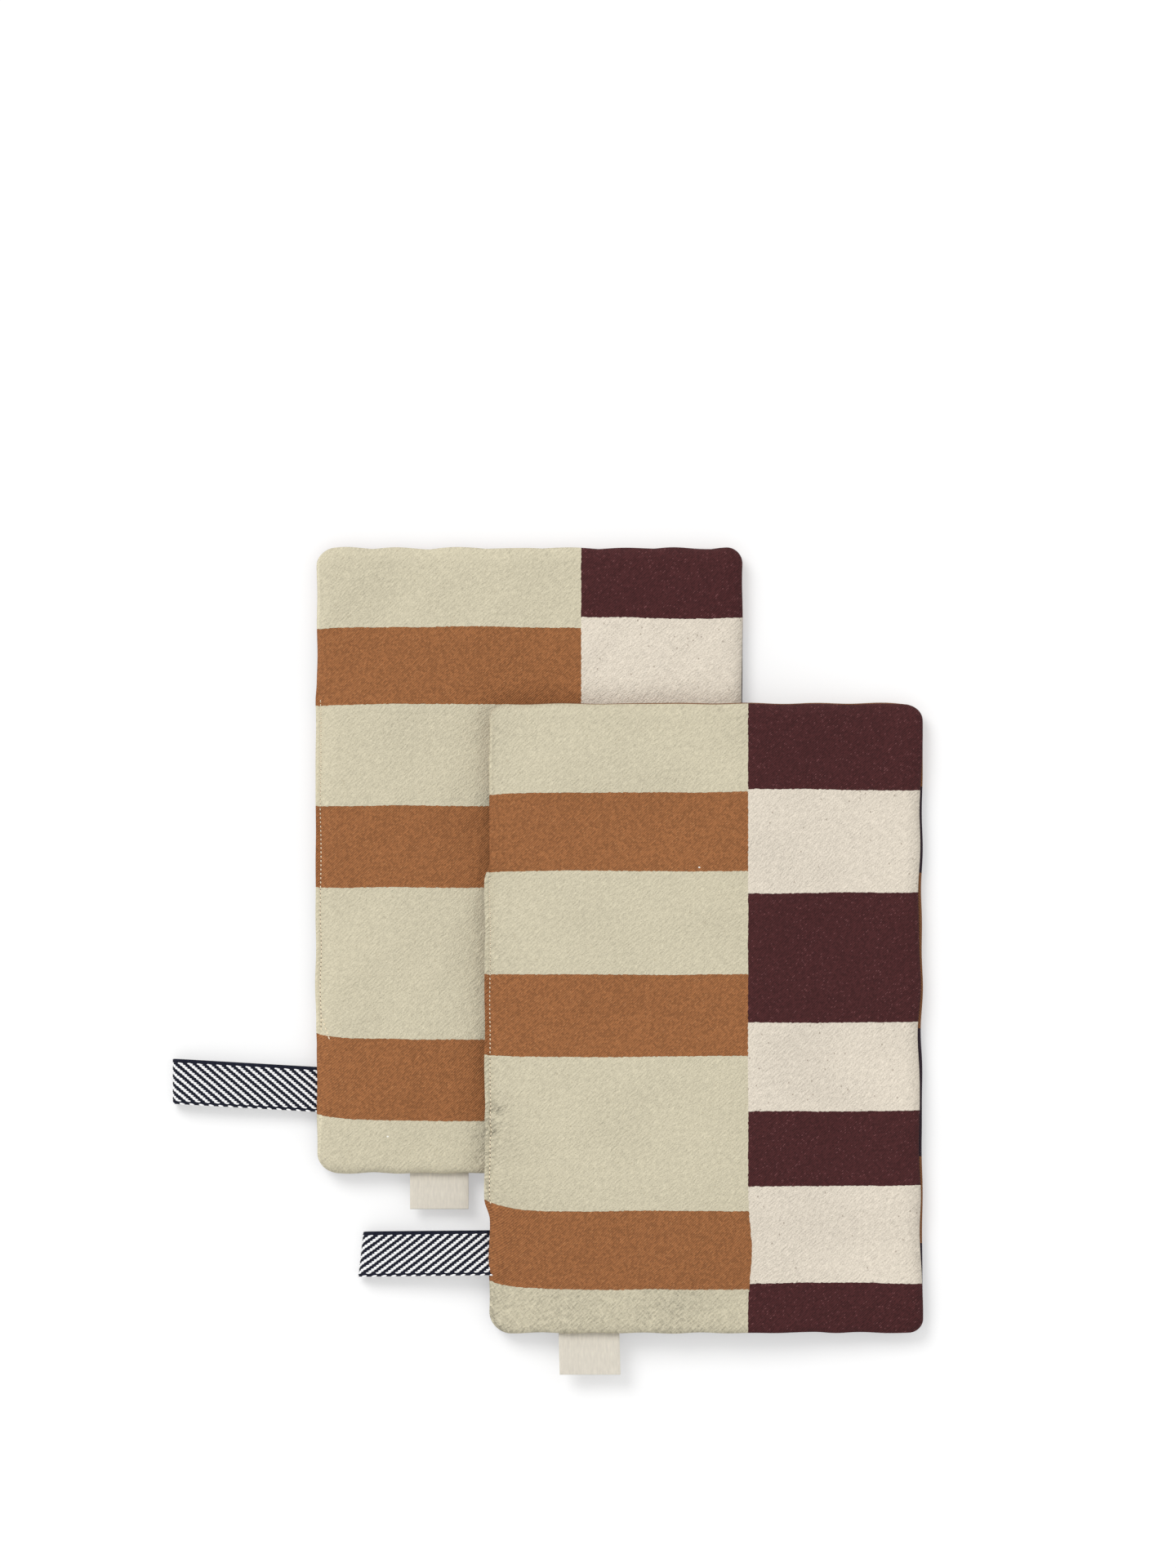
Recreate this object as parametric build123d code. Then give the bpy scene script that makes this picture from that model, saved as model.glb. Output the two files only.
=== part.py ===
"""A pair of padded rectangular oven mitts, the upper one laid over a corner of the lower one.

Each mitt is a pouch, open at its mouth (the -Y edge) and sewn shut round the other three
edges. Each of its two panels is a cover, a layer of wadding and a lining. A folded tape
makes a hanging loop in the left side seam, and a folded tab is sewn into the mouth hem.

All sizes are in millimetres. +X is to the right, +Y from the mouth to the closed end,
and +Z up. The lower mitt lies flat, and the upper one bends down off it to the right and
towards its mouth. The origin is under the middle of the pair.
"""

from build123d import *
import math
import os

os.makedirs("parts", exist_ok=True)

# ---------------------------------------------------------------- driving dimensions

# Outline of each mitt, and where the upper one lies on the lower one.
lower_width = 189.0
lower_length = 278.0
upper_width = 192.0
upper_length = 280.0
upper_shift_right = 76.5        # left edge of the lower mitt to the left edge of the upper
upper_shift_down = 70.9         # mouth of the lower mitt to the mouth of the upper
corner_radius = 7.0

# Cloth and filling of one panel.
cover_cloth = 0.8
wadding_thickness = 2.4
lining_cloth = 0.4
layer_gap = 0.1                 # between one layer and the next

# The hand space between the two linings.
hand_space = 4.6                # its height in the middle of a mitt
seam_space = 1.8                # its height at the side seams
hand_roll = 20.0                # the width over which it closes towards the seams

# Edges: the covers roll down to the side seams, and round the wadding at the mouth.
edge_roll = 10.0
mouth_roll = 5.0
wadding_inset = 2.5
wadding_mouth_inset = 2.0
wadding_corner = 8.0
lining_inset = 4.0
lining_mouth_inset = 0.5
lining_corner = 10.0

# Turned-in edge of all the layers, hidden in the side seams.
allowance_width = 8.0
allowance_thickness = 1.4
allowance_inset = 1.2
allowance_mouth_inset = 1.0

# How the upper mitt lies.
lay_gap = 0.3                   # between the two mitts where one lies on the other
floor_gap = 0.1                 # under whatever hangs down to the floor
bend_lead = 6.0                 # the bend starts this far inside the lower mitt's side edge
side_foot = 10.0                # flat on the floor beside the right edge
mouth_foot = 8.0                # flat on the floor at the mouth
mouth_gape = 4.5                # how much further than its hand space the mouth stands open
gape_ramp = 38.0                # how far from the left seam the open mouth is at its full height
rest_press = 0.4                # how much cloth its weight presses flat where a mitt rests
rest_ramp = 0.1                 # share of the lift over which the upper mitt's underside touches down

# Hanging loops, of folded tape.
tape_width = 20.0
tape_thickness = 1.1
loop_eye = 5.4                  # height of the eye at the fold
root_gap = 0.3                  # between a seam and the root of what is sewn into it
lower_loop_reach = 64.0
lower_loop_centre = 38.0        # from the mouth
upper_loop_reach = 57.0
upper_loop_centre = 36.0

# Folded tabs in the mouth hems.
tab_thickness = 0.9
lower_tab_width = 26.0
lower_tab_reach = 16.0
lower_tab_start = 41.3          # from the left edge
lower_tab_droop = 18.0          # degrees below level
upper_tab_width = 27.0
upper_tab_reach = 18.5
upper_tab_start = 30.8
upper_tab_droop = 25.0

# How finely the curved layers are worked out.
fine_step = 2.5
coarse_step = 14.0
overrun = 2.0                   # how far a layer's surfaces run past its outline

# ---------------------------------------------------------------- derived sizes

half_panel = hand_space / 2 + lining_cloth + layer_gap + wadding_thickness + layer_gap
seam_height = half_panel + cover_cloth
mitt_thickness = 2 * seam_height
fold_radius = loop_eye / 2 + tape_thickness
upper_mouth = -upper_shift_down
upper_lift = mitt_thickness + lay_gap
tall = 6 * mitt_thickness


def rise(distance, roll):
    """Grow from 0 at an edge to 1 at the end of its roll, as a rounded edge does."""
    if distance >= roll:
        return 1.0
    return 1 - (1 - distance / roll) ** 2


def ease(share):
    """Go smoothly from 0 to 1, level at both ends."""
    share = min(max(share, 0.0), 1.0)
    return share * share * (3 - 2 * share)


def stations(length):
    """Places of the grid lines across a panel, closer together near both edges."""
    border = edge_roll + fine_step
    fine = max(1, round((border + overrun) / fine_step))
    near = [-overrun + i * (border + overrun) / fine for i in range(fine)]
    coarse = max(1, round((length - 2 * border) / coarse_step))
    middle = [border + i * (length - 2 * border) / coarse for i in range(coarse + 1)]
    far = [length - place for place in reversed(near)]
    return near + middle + far


class Mitt:
    """One mitt: its outline, its place, and the height of each surface in it.

    Surfaces are functions of u, the distance from the left edge, and v, the distance
    from the mouth. ledge_right and ledge_mouth say how much of the mitt has the other
    one under it, and lift is how high it lies there.
    """

    def __init__(self, name, width, length, left, mouth, lift, ledge_right, ledge_mouth):
        self.name = name
        self.width = width
        self.length = length
        self.place = Pos(left, mouth, 0)
        self.lift = lift
        self.floor = 0 if lift == 0 else floor_gap
        self.bend_right = ledge_right - bend_lead
        self.bend_mouth = ledge_mouth

    def side(self, u, v, roll):
        """1 in the middle, and 0 at the three sewn edges."""
        return rise(u, roll) * rise(self.width - u, roll) * rise(self.length - v, roll)

    def bend(self, u, v):
        """How far the mitt has come down towards the floor, to the right and at the mouth."""
        right = ease((u - self.bend_right) / (self.width - side_foot - self.bend_right))
        mouth = ease((self.bend_mouth - v) / (self.bend_mouth - mouth_foot))
        return right, mouth

    def back_plane(self, u, v):
        """Height of the seam line, which the back panel follows."""
        if self.lift == 0:
            return seam_height
        right, mouth = self.bend(u, v)
        fall = (1 - right) * (1 - mouth)
        return seam_height + floor_gap + (self.lift - floor_gap) * fall

    def footing(self, u, v):
        """1 where the mitt rests on the floor, and 0 where it is lifted off it."""
        if self.lift == 0:
            return 1.0
        right, mouth = self.bend(u, v)
        return max(0.0, 1 - (1 - right) * (1 - mouth) / rest_ramp)

    def front_plane(self, u, v):
        """The same for the front panel, which stays up at the mouth and leaves it open."""
        if self.lift == 0:
            return seam_height
        right, mouth = self.bend(u, v)
        gape = mouth_gape * (1 - right) * mouth * ease(u / gape_ramp)
        return self.back_plane(u, v) + gape

    def lining_inner(self, u, v):
        """Half the height of the hand space."""
        return seam_space / 2 + (hand_space - seam_space) / 2 * self.side(u, v, hand_roll)

    def lining_outer(self, u, v):
        return self.lining_inner(u, v) + lining_cloth

    def wadding_inner(self, u, v):
        return self.lining_outer(u, v) + layer_gap

    def cover_inner(self, u, v):
        """The cover rolls down to meet the other cover, and to the lining at the mouth."""
        inside = self.wadding_inner(u, v)
        half_gap = layer_gap / 2
        domed = half_gap + (half_panel - half_gap) * self.side(u, v, edge_roll)
        return inside + (domed - inside) * rise(v, mouth_roll)

    def wadding_outer(self, u, v):
        return self.cover_inner(u, v) - layer_gap

    def cover_outer(self, u, v):
        return self.cover_inner(u, v) + cover_cloth

    def underside(self, u, v):
        """The outside of the back cover, which would sink into the floor where it rests."""
        pressed = rest_press * self.side(u, v, edge_roll) * rise(v, edge_roll)
        return self.cover_outer(u, v) + pressed * self.footing(u, v)

    def outline(self, inset, mouth_inset, radius, base):
        """Upright block over the mitt's outline, inset at the seams and at the mouth."""
        width = self.width - 2 * inset
        length = self.length - inset - mouth_inset
        middle = Pos(self.width / 2, mouth_inset + length / 2, base)
        return extrude(middle * RectangleRounded(width, length, radius), amount=tall)

    def sheet(self, height):
        """Smooth surface over the whole mitt, at the height that the function gives."""
        rows = []
        for u in stations(self.width):
            rows.append([Vector(u, v, height(u, v)) for v in stations(self.length)])
        return Face.make_surface_from_array_of_points(rows, min_deg=3)

    def between(self, low, high, block):
        """The part of an upright block that lies between two surfaces."""
        above = extrude(self.sheet(low), amount=2 * tall, dir=(0, 0, 1))
        below = extrude(self.sheet(high), amount=2 * tall, dir=(0, 0, -1))
        return block & above & below

    def front_layer(self, inner, outer, block):
        """A layer of the front panel, from its inner to its outer surface."""
        return self.between(
            lambda u, v: self.front_plane(u, v) + inner(u, v),
            lambda u, v: self.front_plane(u, v) + outer(u, v),
            block,
        )

    def back_layer(self, inner, outer, block):
        """The same layer of the back panel, which is the front one upside down."""
        return self.between(
            lambda u, v: self.back_plane(u, v) - outer(u, v),
            lambda u, v: self.back_plane(u, v) - inner(u, v),
            block,
        )

    def seam_allowance(self):
        """Turned-in edges of the layers, a strip along the three sewn edges."""
        inset = allowance_inset
        block = self.outline(inset, allowance_mouth_inset, corner_radius - inset, -tall / 2)
        inner = inset + allowance_width
        hollow = self.outline(inner, -inner, corner_radius, -tall / 2)
        half = allowance_thickness / 2
        return self.between(
            lambda u, v: self.back_plane(u, v) - half,
            lambda u, v: self.back_plane(u, v) + half,
            block - hollow,
        )

    def layers(self):
        """All the layers of both panels, by name."""
        cover = self.outline(0, 0, corner_radius, -tall / 2)
        flat_cover = self.outline(0, 0, corner_radius, self.floor)
        wadding = self.outline(wadding_inset, wadding_mouth_inset, wadding_corner, -tall / 2)
        lining = self.outline(lining_inset, lining_mouth_inset, lining_corner, -tall / 2)
        return {
            "front_cover": self.front_layer(self.cover_inner, self.cover_outer, cover),
            "front_wadding": self.front_layer(self.wadding_inner, self.wadding_outer, wadding),
            "front_lining": self.front_layer(self.lining_inner, self.lining_outer, lining),
            "back_lining": self.back_layer(self.lining_inner, self.lining_outer, lining),
            "back_wadding": self.back_layer(self.wadding_inner, self.wadding_outer, wadding),
            "back_cover": self.back_layer(self.cover_inner, self.underside, flat_cover),
            "seam_allowance": self.seam_allowance(),
        }

    def loop_pivot(self, centre):
        """Where a loop turns: just outside the left seam, at the height of the seam."""
        return Vector(-root_gap - tape_thickness, centre, self.back_plane(0, centre))

    def tab_pivot(self, start, width):
        """Where a tab turns: just outside the mouth, at the middle of the front hem."""
        u = start + width / 2
        hem = self.front_plane(u, 0) + self.lining_outer(u, 0) + layer_gap / 2
        return Vector(u, -root_gap - tab_thickness / 2, hem)


def hanging_loop(reach, height):
    """Folded tape on its pivot: two legs that part towards a round fold, with an eye between.

    The tape runs towards -X and is as wide as it is along Y. Its root is at the height
    given, and its fold lies on the floor.
    """
    level = reach - root_gap - tape_thickness - fold_radius
    drop = height - fold_radius - floor_gap
    span = math.hypot(level, drop)
    eye_start_radius = tape_thickness / 4
    eye_start = span * eye_start_radius / (loop_eye / 2)
    root = Circle(tape_thickness)
    fold = Pos(-span, 0) * Circle(fold_radius)
    outside = make_hull((Sketch() + [root, fold]).edges())
    near = Pos(-eye_start, 0) * Circle(eye_start_radius)
    far = Pos(-span, 0) * Circle(loop_eye / 2)
    eye = make_hull((Sketch() + [near, far]).edges())
    tape = extrude(Plane.XZ * (outside - eye), amount=tape_width / 2, both=True)
    return Rot(0, -math.degrees(math.atan2(drop, level)), 0) * tape


def sewn_tab(width, reach, droop):
    """Folded tab on its pivot, running towards -Y. droop is in degrees."""
    length = (reach - root_gap) / math.cos(math.radians(droop))
    middle = Pos(-length / 2 + tab_thickness / 2, 0)
    side = middle * SlotOverall(length, tab_thickness)
    tab = extrude(Plane.YZ * side, amount=width / 2, both=True)
    return Rot(droop, 0, 0) * tab


# ---------------------------------------------------------------- the pair

lower = Mitt("lower", lower_width, lower_length, 0, 0, 0, lower_width, 0)
upper = Mitt(
    "upper",
    upper_width,
    upper_length,
    upper_shift_right,
    upper_mouth,
    upper_lift,
    lower_width - upper_shift_right,
    -upper_mouth,
)

loops = {
    "lower_hanging_loop": (lower, lower_loop_centre, lower_loop_reach),
    "upper_hanging_loop": (upper, upper_loop_centre, upper_loop_reach),
}
tabs = {
    "lower_label": (lower, lower_tab_start, lower_tab_width, lower_tab_reach, lower_tab_droop),
    "upper_label": (upper, upper_tab_start, upper_tab_width, upper_tab_reach, upper_tab_droop),
}

nodes = {}
for mitt in (lower, upper):
    for layer, solid in mitt.layers().items():
        nodes[f"{mitt.name}_{layer}"] = mitt.place * solid

pivots = {}
for name, (mitt, seam_place, reach) in loops.items():
    pivot = mitt.loop_pivot(seam_place)
    pivots[name] = mitt.place * Pos(pivot)
    nodes[name] = pivots[name] * hanging_loop(reach, pivot.Z)
for name, (mitt, start, width, reach, droop) in tabs.items():
    pivots[name] = mitt.place * Pos(mitt.tab_pivot(start, width))
    nodes[name] = pivots[name] * sewn_tab(width, reach, droop)

# The origin is on the floor, under the middle of everything.
extent = Compound(children=[Compound(solid.solids()) for solid in nodes.values()]).bounding_box()
centre = Pos(-(extent.min.X + extent.max.X) / 2, -(extent.min.Y + extent.max.Y) / 2, 0)

for name, solid in nodes.items():
    placed = centre * solid
    placed.label = name
    export_step(placed, f"parts/{name}.step")
    size = placed.bounding_box().size
    print(f"{name}: {size.X:.1f} x {size.Y:.1f} x {size.Z:.1f} mm")
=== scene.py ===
"""Dresses a pair of padded rectangular oven mitts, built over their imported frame.

Each mitt is a pouch of two padded panels, open at its mouth (-Y). A panel is a patterned
cotton cover with a turned-in hem, a layer of wadding and a lining. A folded webbing tape
makes a hanging loop in the left seam, a folded cotton tab is sewn into the mouth hem, and
a line of topstitching closes the left seam where each mitt was turned right side out.

Everything is in metres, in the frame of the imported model. A point of a panel is given by
u, its distance from the left edge, and v, its distance from the mouth.
"""

from __future__ import annotations

import logging
import math
from dataclasses import dataclass
from enum import Enum
from typing import Callable, Iterable, Iterator, NamedTuple, Sequence

import bpy
import numpy as np
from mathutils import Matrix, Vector


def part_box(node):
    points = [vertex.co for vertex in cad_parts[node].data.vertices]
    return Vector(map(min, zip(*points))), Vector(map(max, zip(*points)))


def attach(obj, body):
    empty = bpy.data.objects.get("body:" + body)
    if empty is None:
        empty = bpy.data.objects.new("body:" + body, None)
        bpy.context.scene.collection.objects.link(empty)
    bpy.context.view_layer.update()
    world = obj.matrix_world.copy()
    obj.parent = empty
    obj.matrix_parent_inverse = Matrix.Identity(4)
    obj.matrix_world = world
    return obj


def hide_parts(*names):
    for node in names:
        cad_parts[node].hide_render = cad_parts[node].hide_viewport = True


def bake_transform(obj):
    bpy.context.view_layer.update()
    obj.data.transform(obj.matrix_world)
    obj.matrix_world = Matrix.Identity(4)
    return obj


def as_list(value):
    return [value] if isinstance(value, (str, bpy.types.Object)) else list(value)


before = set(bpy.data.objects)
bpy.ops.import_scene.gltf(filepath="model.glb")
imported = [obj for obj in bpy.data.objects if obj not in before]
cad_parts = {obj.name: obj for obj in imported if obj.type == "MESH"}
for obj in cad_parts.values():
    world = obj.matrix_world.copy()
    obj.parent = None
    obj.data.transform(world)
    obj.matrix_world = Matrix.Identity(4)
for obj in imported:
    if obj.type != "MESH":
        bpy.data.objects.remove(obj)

MM = 0.001
FLOOR_SPAN = 6.0
UP = (0.0, 0.0, 1.0)
DIAGONAL_X = 0.69
DIAGONAL_Y = 0.72

log = logging.getLogger("oven_mitts")

Array = np.ndarray


# ------------ small helpers


def rise(distance: Array, roll: float) -> Array:
    """Grow from 0 at an edge to 1 at the end of its roll, with a parabola."""
    return 1 - (1 - np.clip(distance / roll, 0, 1)) ** 2


def crown(distance: Array, roll: float) -> Array:
    """Grow from 0 at an edge to 1 at the end of its roll, with a quarter ellipse."""
    return np.sqrt(np.clip(rise(distance, roll), 0, 1))


def ease(share: Array) -> Array:
    """Go smoothly from 0 to 1, level at both ends."""
    share = np.clip(share, 0, 1)
    return share * share * (3 - 2 * share)


def window(place: Array, start: float, end: float, soft: float) -> Array:
    """1 between start and end, and 0 beyond them, over a soft border."""
    return ease((place - start) / soft + 0.5) * ease((end - place) / soft + 0.5)


def bell(distance: Array, reach: float) -> Array:
    """1 at no distance, fading away over the reach."""
    return np.exp(-((distance / reach) ** 2))


def stations(length: float, border: float, near: int, step: float) -> Array:
    """Places of grid lines from 0 to length, crowded towards both ends.

    Args:
        length: the whole distance.
        border: how far from each end the lines are crowded.
        near: how many lines each border has.
        step: the spacing in between.

    Returns:
        The places, in order.
    """
    turn = np.linspace(0, math.pi / 2, near + 1)
    edge = border * (1 - np.cos(turn))
    count = max(1, round((length - 2 * border) / step))
    middle = np.linspace(border, length - border, count + 1)
    return np.concatenate([edge[:-1], middle, (length - edge[:-1])[::-1]])


def srgb(red: float, green: float, blue: float) -> tuple[float, float, float, float]:
    """Linear colour of an 8-bit display colour."""

    def linear(part: float) -> float:
        """One part of the colour, from 0 to 1."""
        share = part / 255
        return share / 12.92 if share <= 0.04045 else ((share + 0.055) / 1.055) ** 2.4

    return linear(red), linear(green), linear(blue), 1.0


@dataclass(frozen=True)
class Undulation:
    """A smooth uneven field of about unit size: a few plane waves at odd angles."""

    seed: int
    wavelength: float
    waves: int = 11

    def __call__(self, x: Array, y: Array | float = 0.0) -> Array:
        """Return the field at the places given."""
        random = np.random.default_rng(self.seed)
        total = np.zeros(np.broadcast(x, y).shape)
        for _ in range(self.waves):
            angle = random.uniform(0, math.tau)
            pitch = self.wavelength * random.uniform(0.65, 1.6)
            phase = random.uniform(0, math.tau)
            along = x * math.cos(angle) + y * math.sin(angle)
            total = total + np.sin(along * math.tau / pitch + phase)
        return total / math.sqrt(self.waves / 2)


@dataclass(frozen=True)
class Ripple:
    """A smooth uneven line of about unit size: a few waves of odd lengths."""

    seed: int
    wavelength: float
    waves: int = 5

    def __call__(self, along: Array) -> Array:
        """Return the ripple at the places given."""
        random = np.random.default_rng(self.seed)
        total = np.zeros(np.shape(along))
        for _ in range(self.waves):
            pitch = self.wavelength * random.uniform(0.7, 1.5)
            total = total + np.sin(along * math.tau / pitch + random.uniform(0, math.tau))
        return total / math.sqrt(self.waves / 2)


# ------------ meshes


def linked(name: str, data: bpy.types.ID) -> bpy.types.Object:
    """Make an object of some data, at the origin of the scene."""
    made = bpy.data.objects.new(name, data)
    bpy.context.scene.collection.objects.link(made)
    return made


def add_mesh(
    name: str,
    points: Array,
    faces: Iterable[Sequence[int]],
    cloth: Array | None = None,
    smooth: bool = True,
) -> bpy.types.Object:
    """Make a mesh object at the origin.

    Args:
        name: the piece's name.
        points: an array of places, one row each.
        faces: corners of each face.
        cloth: where each point lies on the flat cloth, one row each, if it matters.
        smooth: whether its faces are shaded smooth.

    Returns:
        The new object, in the scene.
    """
    mesh = bpy.data.meshes.new(name)
    mesh.from_pydata(points.tolist(), [], [tuple(face) for face in faces])
    if cloth is not None:
        layer = mesh.attributes.new("cloth", "FLOAT_VECTOR", "POINT")
        layer.data.foreach_set("vector", np.asarray(cloth, np.float32).ravel())
    if smooth:
        mesh.shade_smooth()
    mesh.update()
    return linked(name, mesh)


def grid_faces(rows: int, columns: int, flip: bool, first: int = 0) -> list[tuple[int, ...]]:
    """Faces of a grid whose points run row by row, facing up unless flipped."""
    faces = []
    for i in range(rows - 1):
        for j in range(columns - 1):
            a = first + i * columns + j
            quad = (a, a + columns, a + columns + 1, a + 1)
            faces.append(quad[::-1] if flip else quad)
    return faces


def band_faces(one: Sequence[int], two: Sequence[int], flip: bool) -> list[tuple[int, ...]]:
    """Faces between two closed rings of as many points."""
    faces = []
    count = len(one)
    for i in range(count):
        j = (i + 1) % count
        quad = (one[j], one[i], two[i], two[j])
        faces.append(quad[::-1] if flip else quad)
    return faces


def border_of(rows: int, columns: int) -> list[int]:
    """Numbers of a grid's border points, once round: mouth, right, closed end, left."""
    mouth = [i * columns for i in range(rows)]
    right = [(rows - 1) * columns + j for j in range(1, columns)]
    closed = [i * columns + columns - 1 for i in range(rows - 2, -1, -1)]
    left = [j for j in range(columns - 2, 0, -1)]
    return mouth + right + closed + left


def inward(ring: Array) -> Array:
    """Unit directions towards the inside of a ring that runs anticlockwise."""
    along = np.roll(ring, -1, axis=0) - np.roll(ring, 1, axis=0)
    along /= np.maximum(np.linalg.norm(along, axis=1, keepdims=True), 1e-12)
    return np.stack([-along[:, 1], along[:, 0]], axis=1)


def thicken(piece: bpy.types.Object, thickness: float) -> None:
    """Give a sheet its thickness, inwards from the side that shows."""
    solidify = piece.modifiers.new("thickness", "SOLIDIFY")
    solidify.thickness = thickness
    solidify.offset = -1
    solidify.use_rim = True


def settle(piece: bpy.types.Object, body: str, slot: str, *nodes: str) -> None:
    """Make a piece ride on its body and stand for its nodes."""
    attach(piece, body)
    if nodes:
        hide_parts(*nodes)
    log.info("%s: %d points, on %s", piece.name, len(piece.data.vertices), body)


# ------------ the form of a mitt


class Side(Enum):
    """The two panels of a mitt, by the way each one's cover faces."""

    FRONT = 1
    BACK = -1


@dataclass(frozen=True)
class Edges:
    """How far a mitt's soft edges stray from a straight outline."""

    seed: int
    wobble: float = 0.15 * MM
    scallop: float = 0.0
    scallop_pitch: float = 25 * MM
    stitched_from: float = 70 * MM
    stitched_to: float = 220 * MM
    bulge: float = 2.0 * MM
    flange: float = 2.6 * MM
    tuck: float = 0.0
    notch: float = 0.0
    pulled_in: float = 0.45 * MM
    pushed_out: float = 0.0
    peek_right: float = 0.0
    peek_top: float = 0.0


class Pillow:
    """The puckers of a padded mitt, from cloth simulation.

    A coarse pouch of the mitt's size is blown up while its seams shrink. What is kept of
    it is how far its puckers stand off the smooth swell, never more than the height.
    """

    spacing = 5 * MM
    enlarged = 10.0
    frames = 20
    pressure = 1.0
    seam_width = 2
    seam_shrink = 0.05
    height = 0.4 * MM

    def __init__(self, width: float, length: float, seed: int) -> None:
        """Blow up a pouch and keep its puckers.

        Args:
            width: the mitt's width.
            length: its length.
            seed: what sets the slight unevenness that the puckers grow from.
        """
        self.size = (width, length)
        rows, columns = (round(side / self.spacing) + 1 for side in self.size)
        i, j = np.meshgrid(np.arange(rows), np.arange(columns), indexing="ij")
        ring = np.minimum(np.minimum(i, rows - 1 - i), np.minimum(j, columns - 1 - j))
        u, v = i * width / (rows - 1), j * length / (columns - 1)
        swell = self.simulated(u, v, ring, seed)
        puckers = swell - self.smoothed(swell, 4)
        for distance in range(ring.max() + 1):
            puckers[ring == distance] -= np.median(puckers[ring == distance])
        strong = np.percentile(np.abs(puckers[ring > 0]), 95)
        self.puckers = self.height * np.clip(puckers / strong, -1, 1)

    def simulated(self, u: Array, v: Array, ring: Array, seed: int) -> Array:
        """Simulate the pouch.

        Args:
            u: distances of a grid's points from the left edge.
            v: their distances from the mouth.
            ring: how many grid lines in from the outline each point lies.
            seed: what sets the slight unevenness.

        Returns:
            The heights of the front panel's points.
        """
        inside = ring > 0
        uneven = 0.2 * np.random.default_rng(seed).random(u.shape) * inside
        start = (0.6 * np.minimum(ring, 3) + uneven) * MM
        front = np.stack([u.ravel(), v.ravel(), start.ravel()], axis=1)
        back = np.stack([u[inside], v[inside], -start[inside]], axis=1)
        under = np.arange(u.size).reshape(u.shape)
        under[inside] = u.size + np.arange(inside.sum())
        faces = grid_faces(*u.shape, False)
        for face in grid_faces(*u.shape, True):
            faces.append(tuple(int(under.flat[k]) for k in face))
        points = np.concatenate([front, back]) * self.enlarged
        mesh = bpy.data.meshes.new("pouch")
        mesh.from_pydata(points.tolist(), [], faces)
        pouch = linked("pouch", mesh)
        seam = pouch.vertex_groups.new(name="seam")
        seam.add([int(k) for k in np.flatnonzero(ring < self.seam_width)], 1.0, "REPLACE")
        cloth = pouch.modifiers.new("cloth", "CLOTH")
        cloth.settings.use_pressure = True
        cloth.settings.uniform_pressure_force = self.pressure
        cloth.settings.vertex_group_shrink = seam.name
        cloth.settings.shrink_max = self.seam_shrink
        cloth.settings.effector_weights.gravity = 0
        cloth.collision_settings.use_collision = False
        cloth.point_cache.frame_end = self.frames
        scene = bpy.context.scene
        for number in range(1, self.frames + 1):
            scene.frame_set(number)
        blown = pouch.evaluated_get(bpy.context.evaluated_depsgraph_get()).data
        places = np.empty(len(points) * 3, np.float32)
        blown.vertices.foreach_get("co", places)
        scene.frame_set(1)
        bpy.data.objects.remove(pouch)
        bpy.data.meshes.remove(mesh)
        heights = places.reshape(-1, 3)[: u.size, 2].astype(float)
        return heights.reshape(u.shape) / self.enlarged

    @staticmethod
    def smoothed(heights: Array, passes: int) -> Array:
        """Even out heights with their neighbours'."""
        for _ in range(passes):
            wide = np.pad(heights, 1, mode="edge")
            beside = wide[:-2, 1:-1] + wide[2:, 1:-1] + wide[1:-1, :-2] + wide[1:-1, 2:]
            heights = (beside + 2 * heights) / 6
        return heights

    def __call__(self, u: Array, v: Array) -> Array:
        """Height of the puckers at points of the mitt."""
        rows, columns = self.puckers.shape
        x = np.clip(u / self.size[0], 0, 1) * (rows - 1)
        y = np.clip(v / self.size[1], 0, 1) * (columns - 1)
        i = np.minimum(x.astype(int), rows - 2)
        j = np.minimum(y.astype(int), columns - 2)
        x, y = x - i, y - j
        near = self.puckers[i, j] * (1 - y) + self.puckers[i, j + 1] * y
        far = self.puckers[i + 1, j] * (1 - y) + self.puckers[i + 1, j + 1] * y
        return near * (1 - x) + far * x


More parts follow.
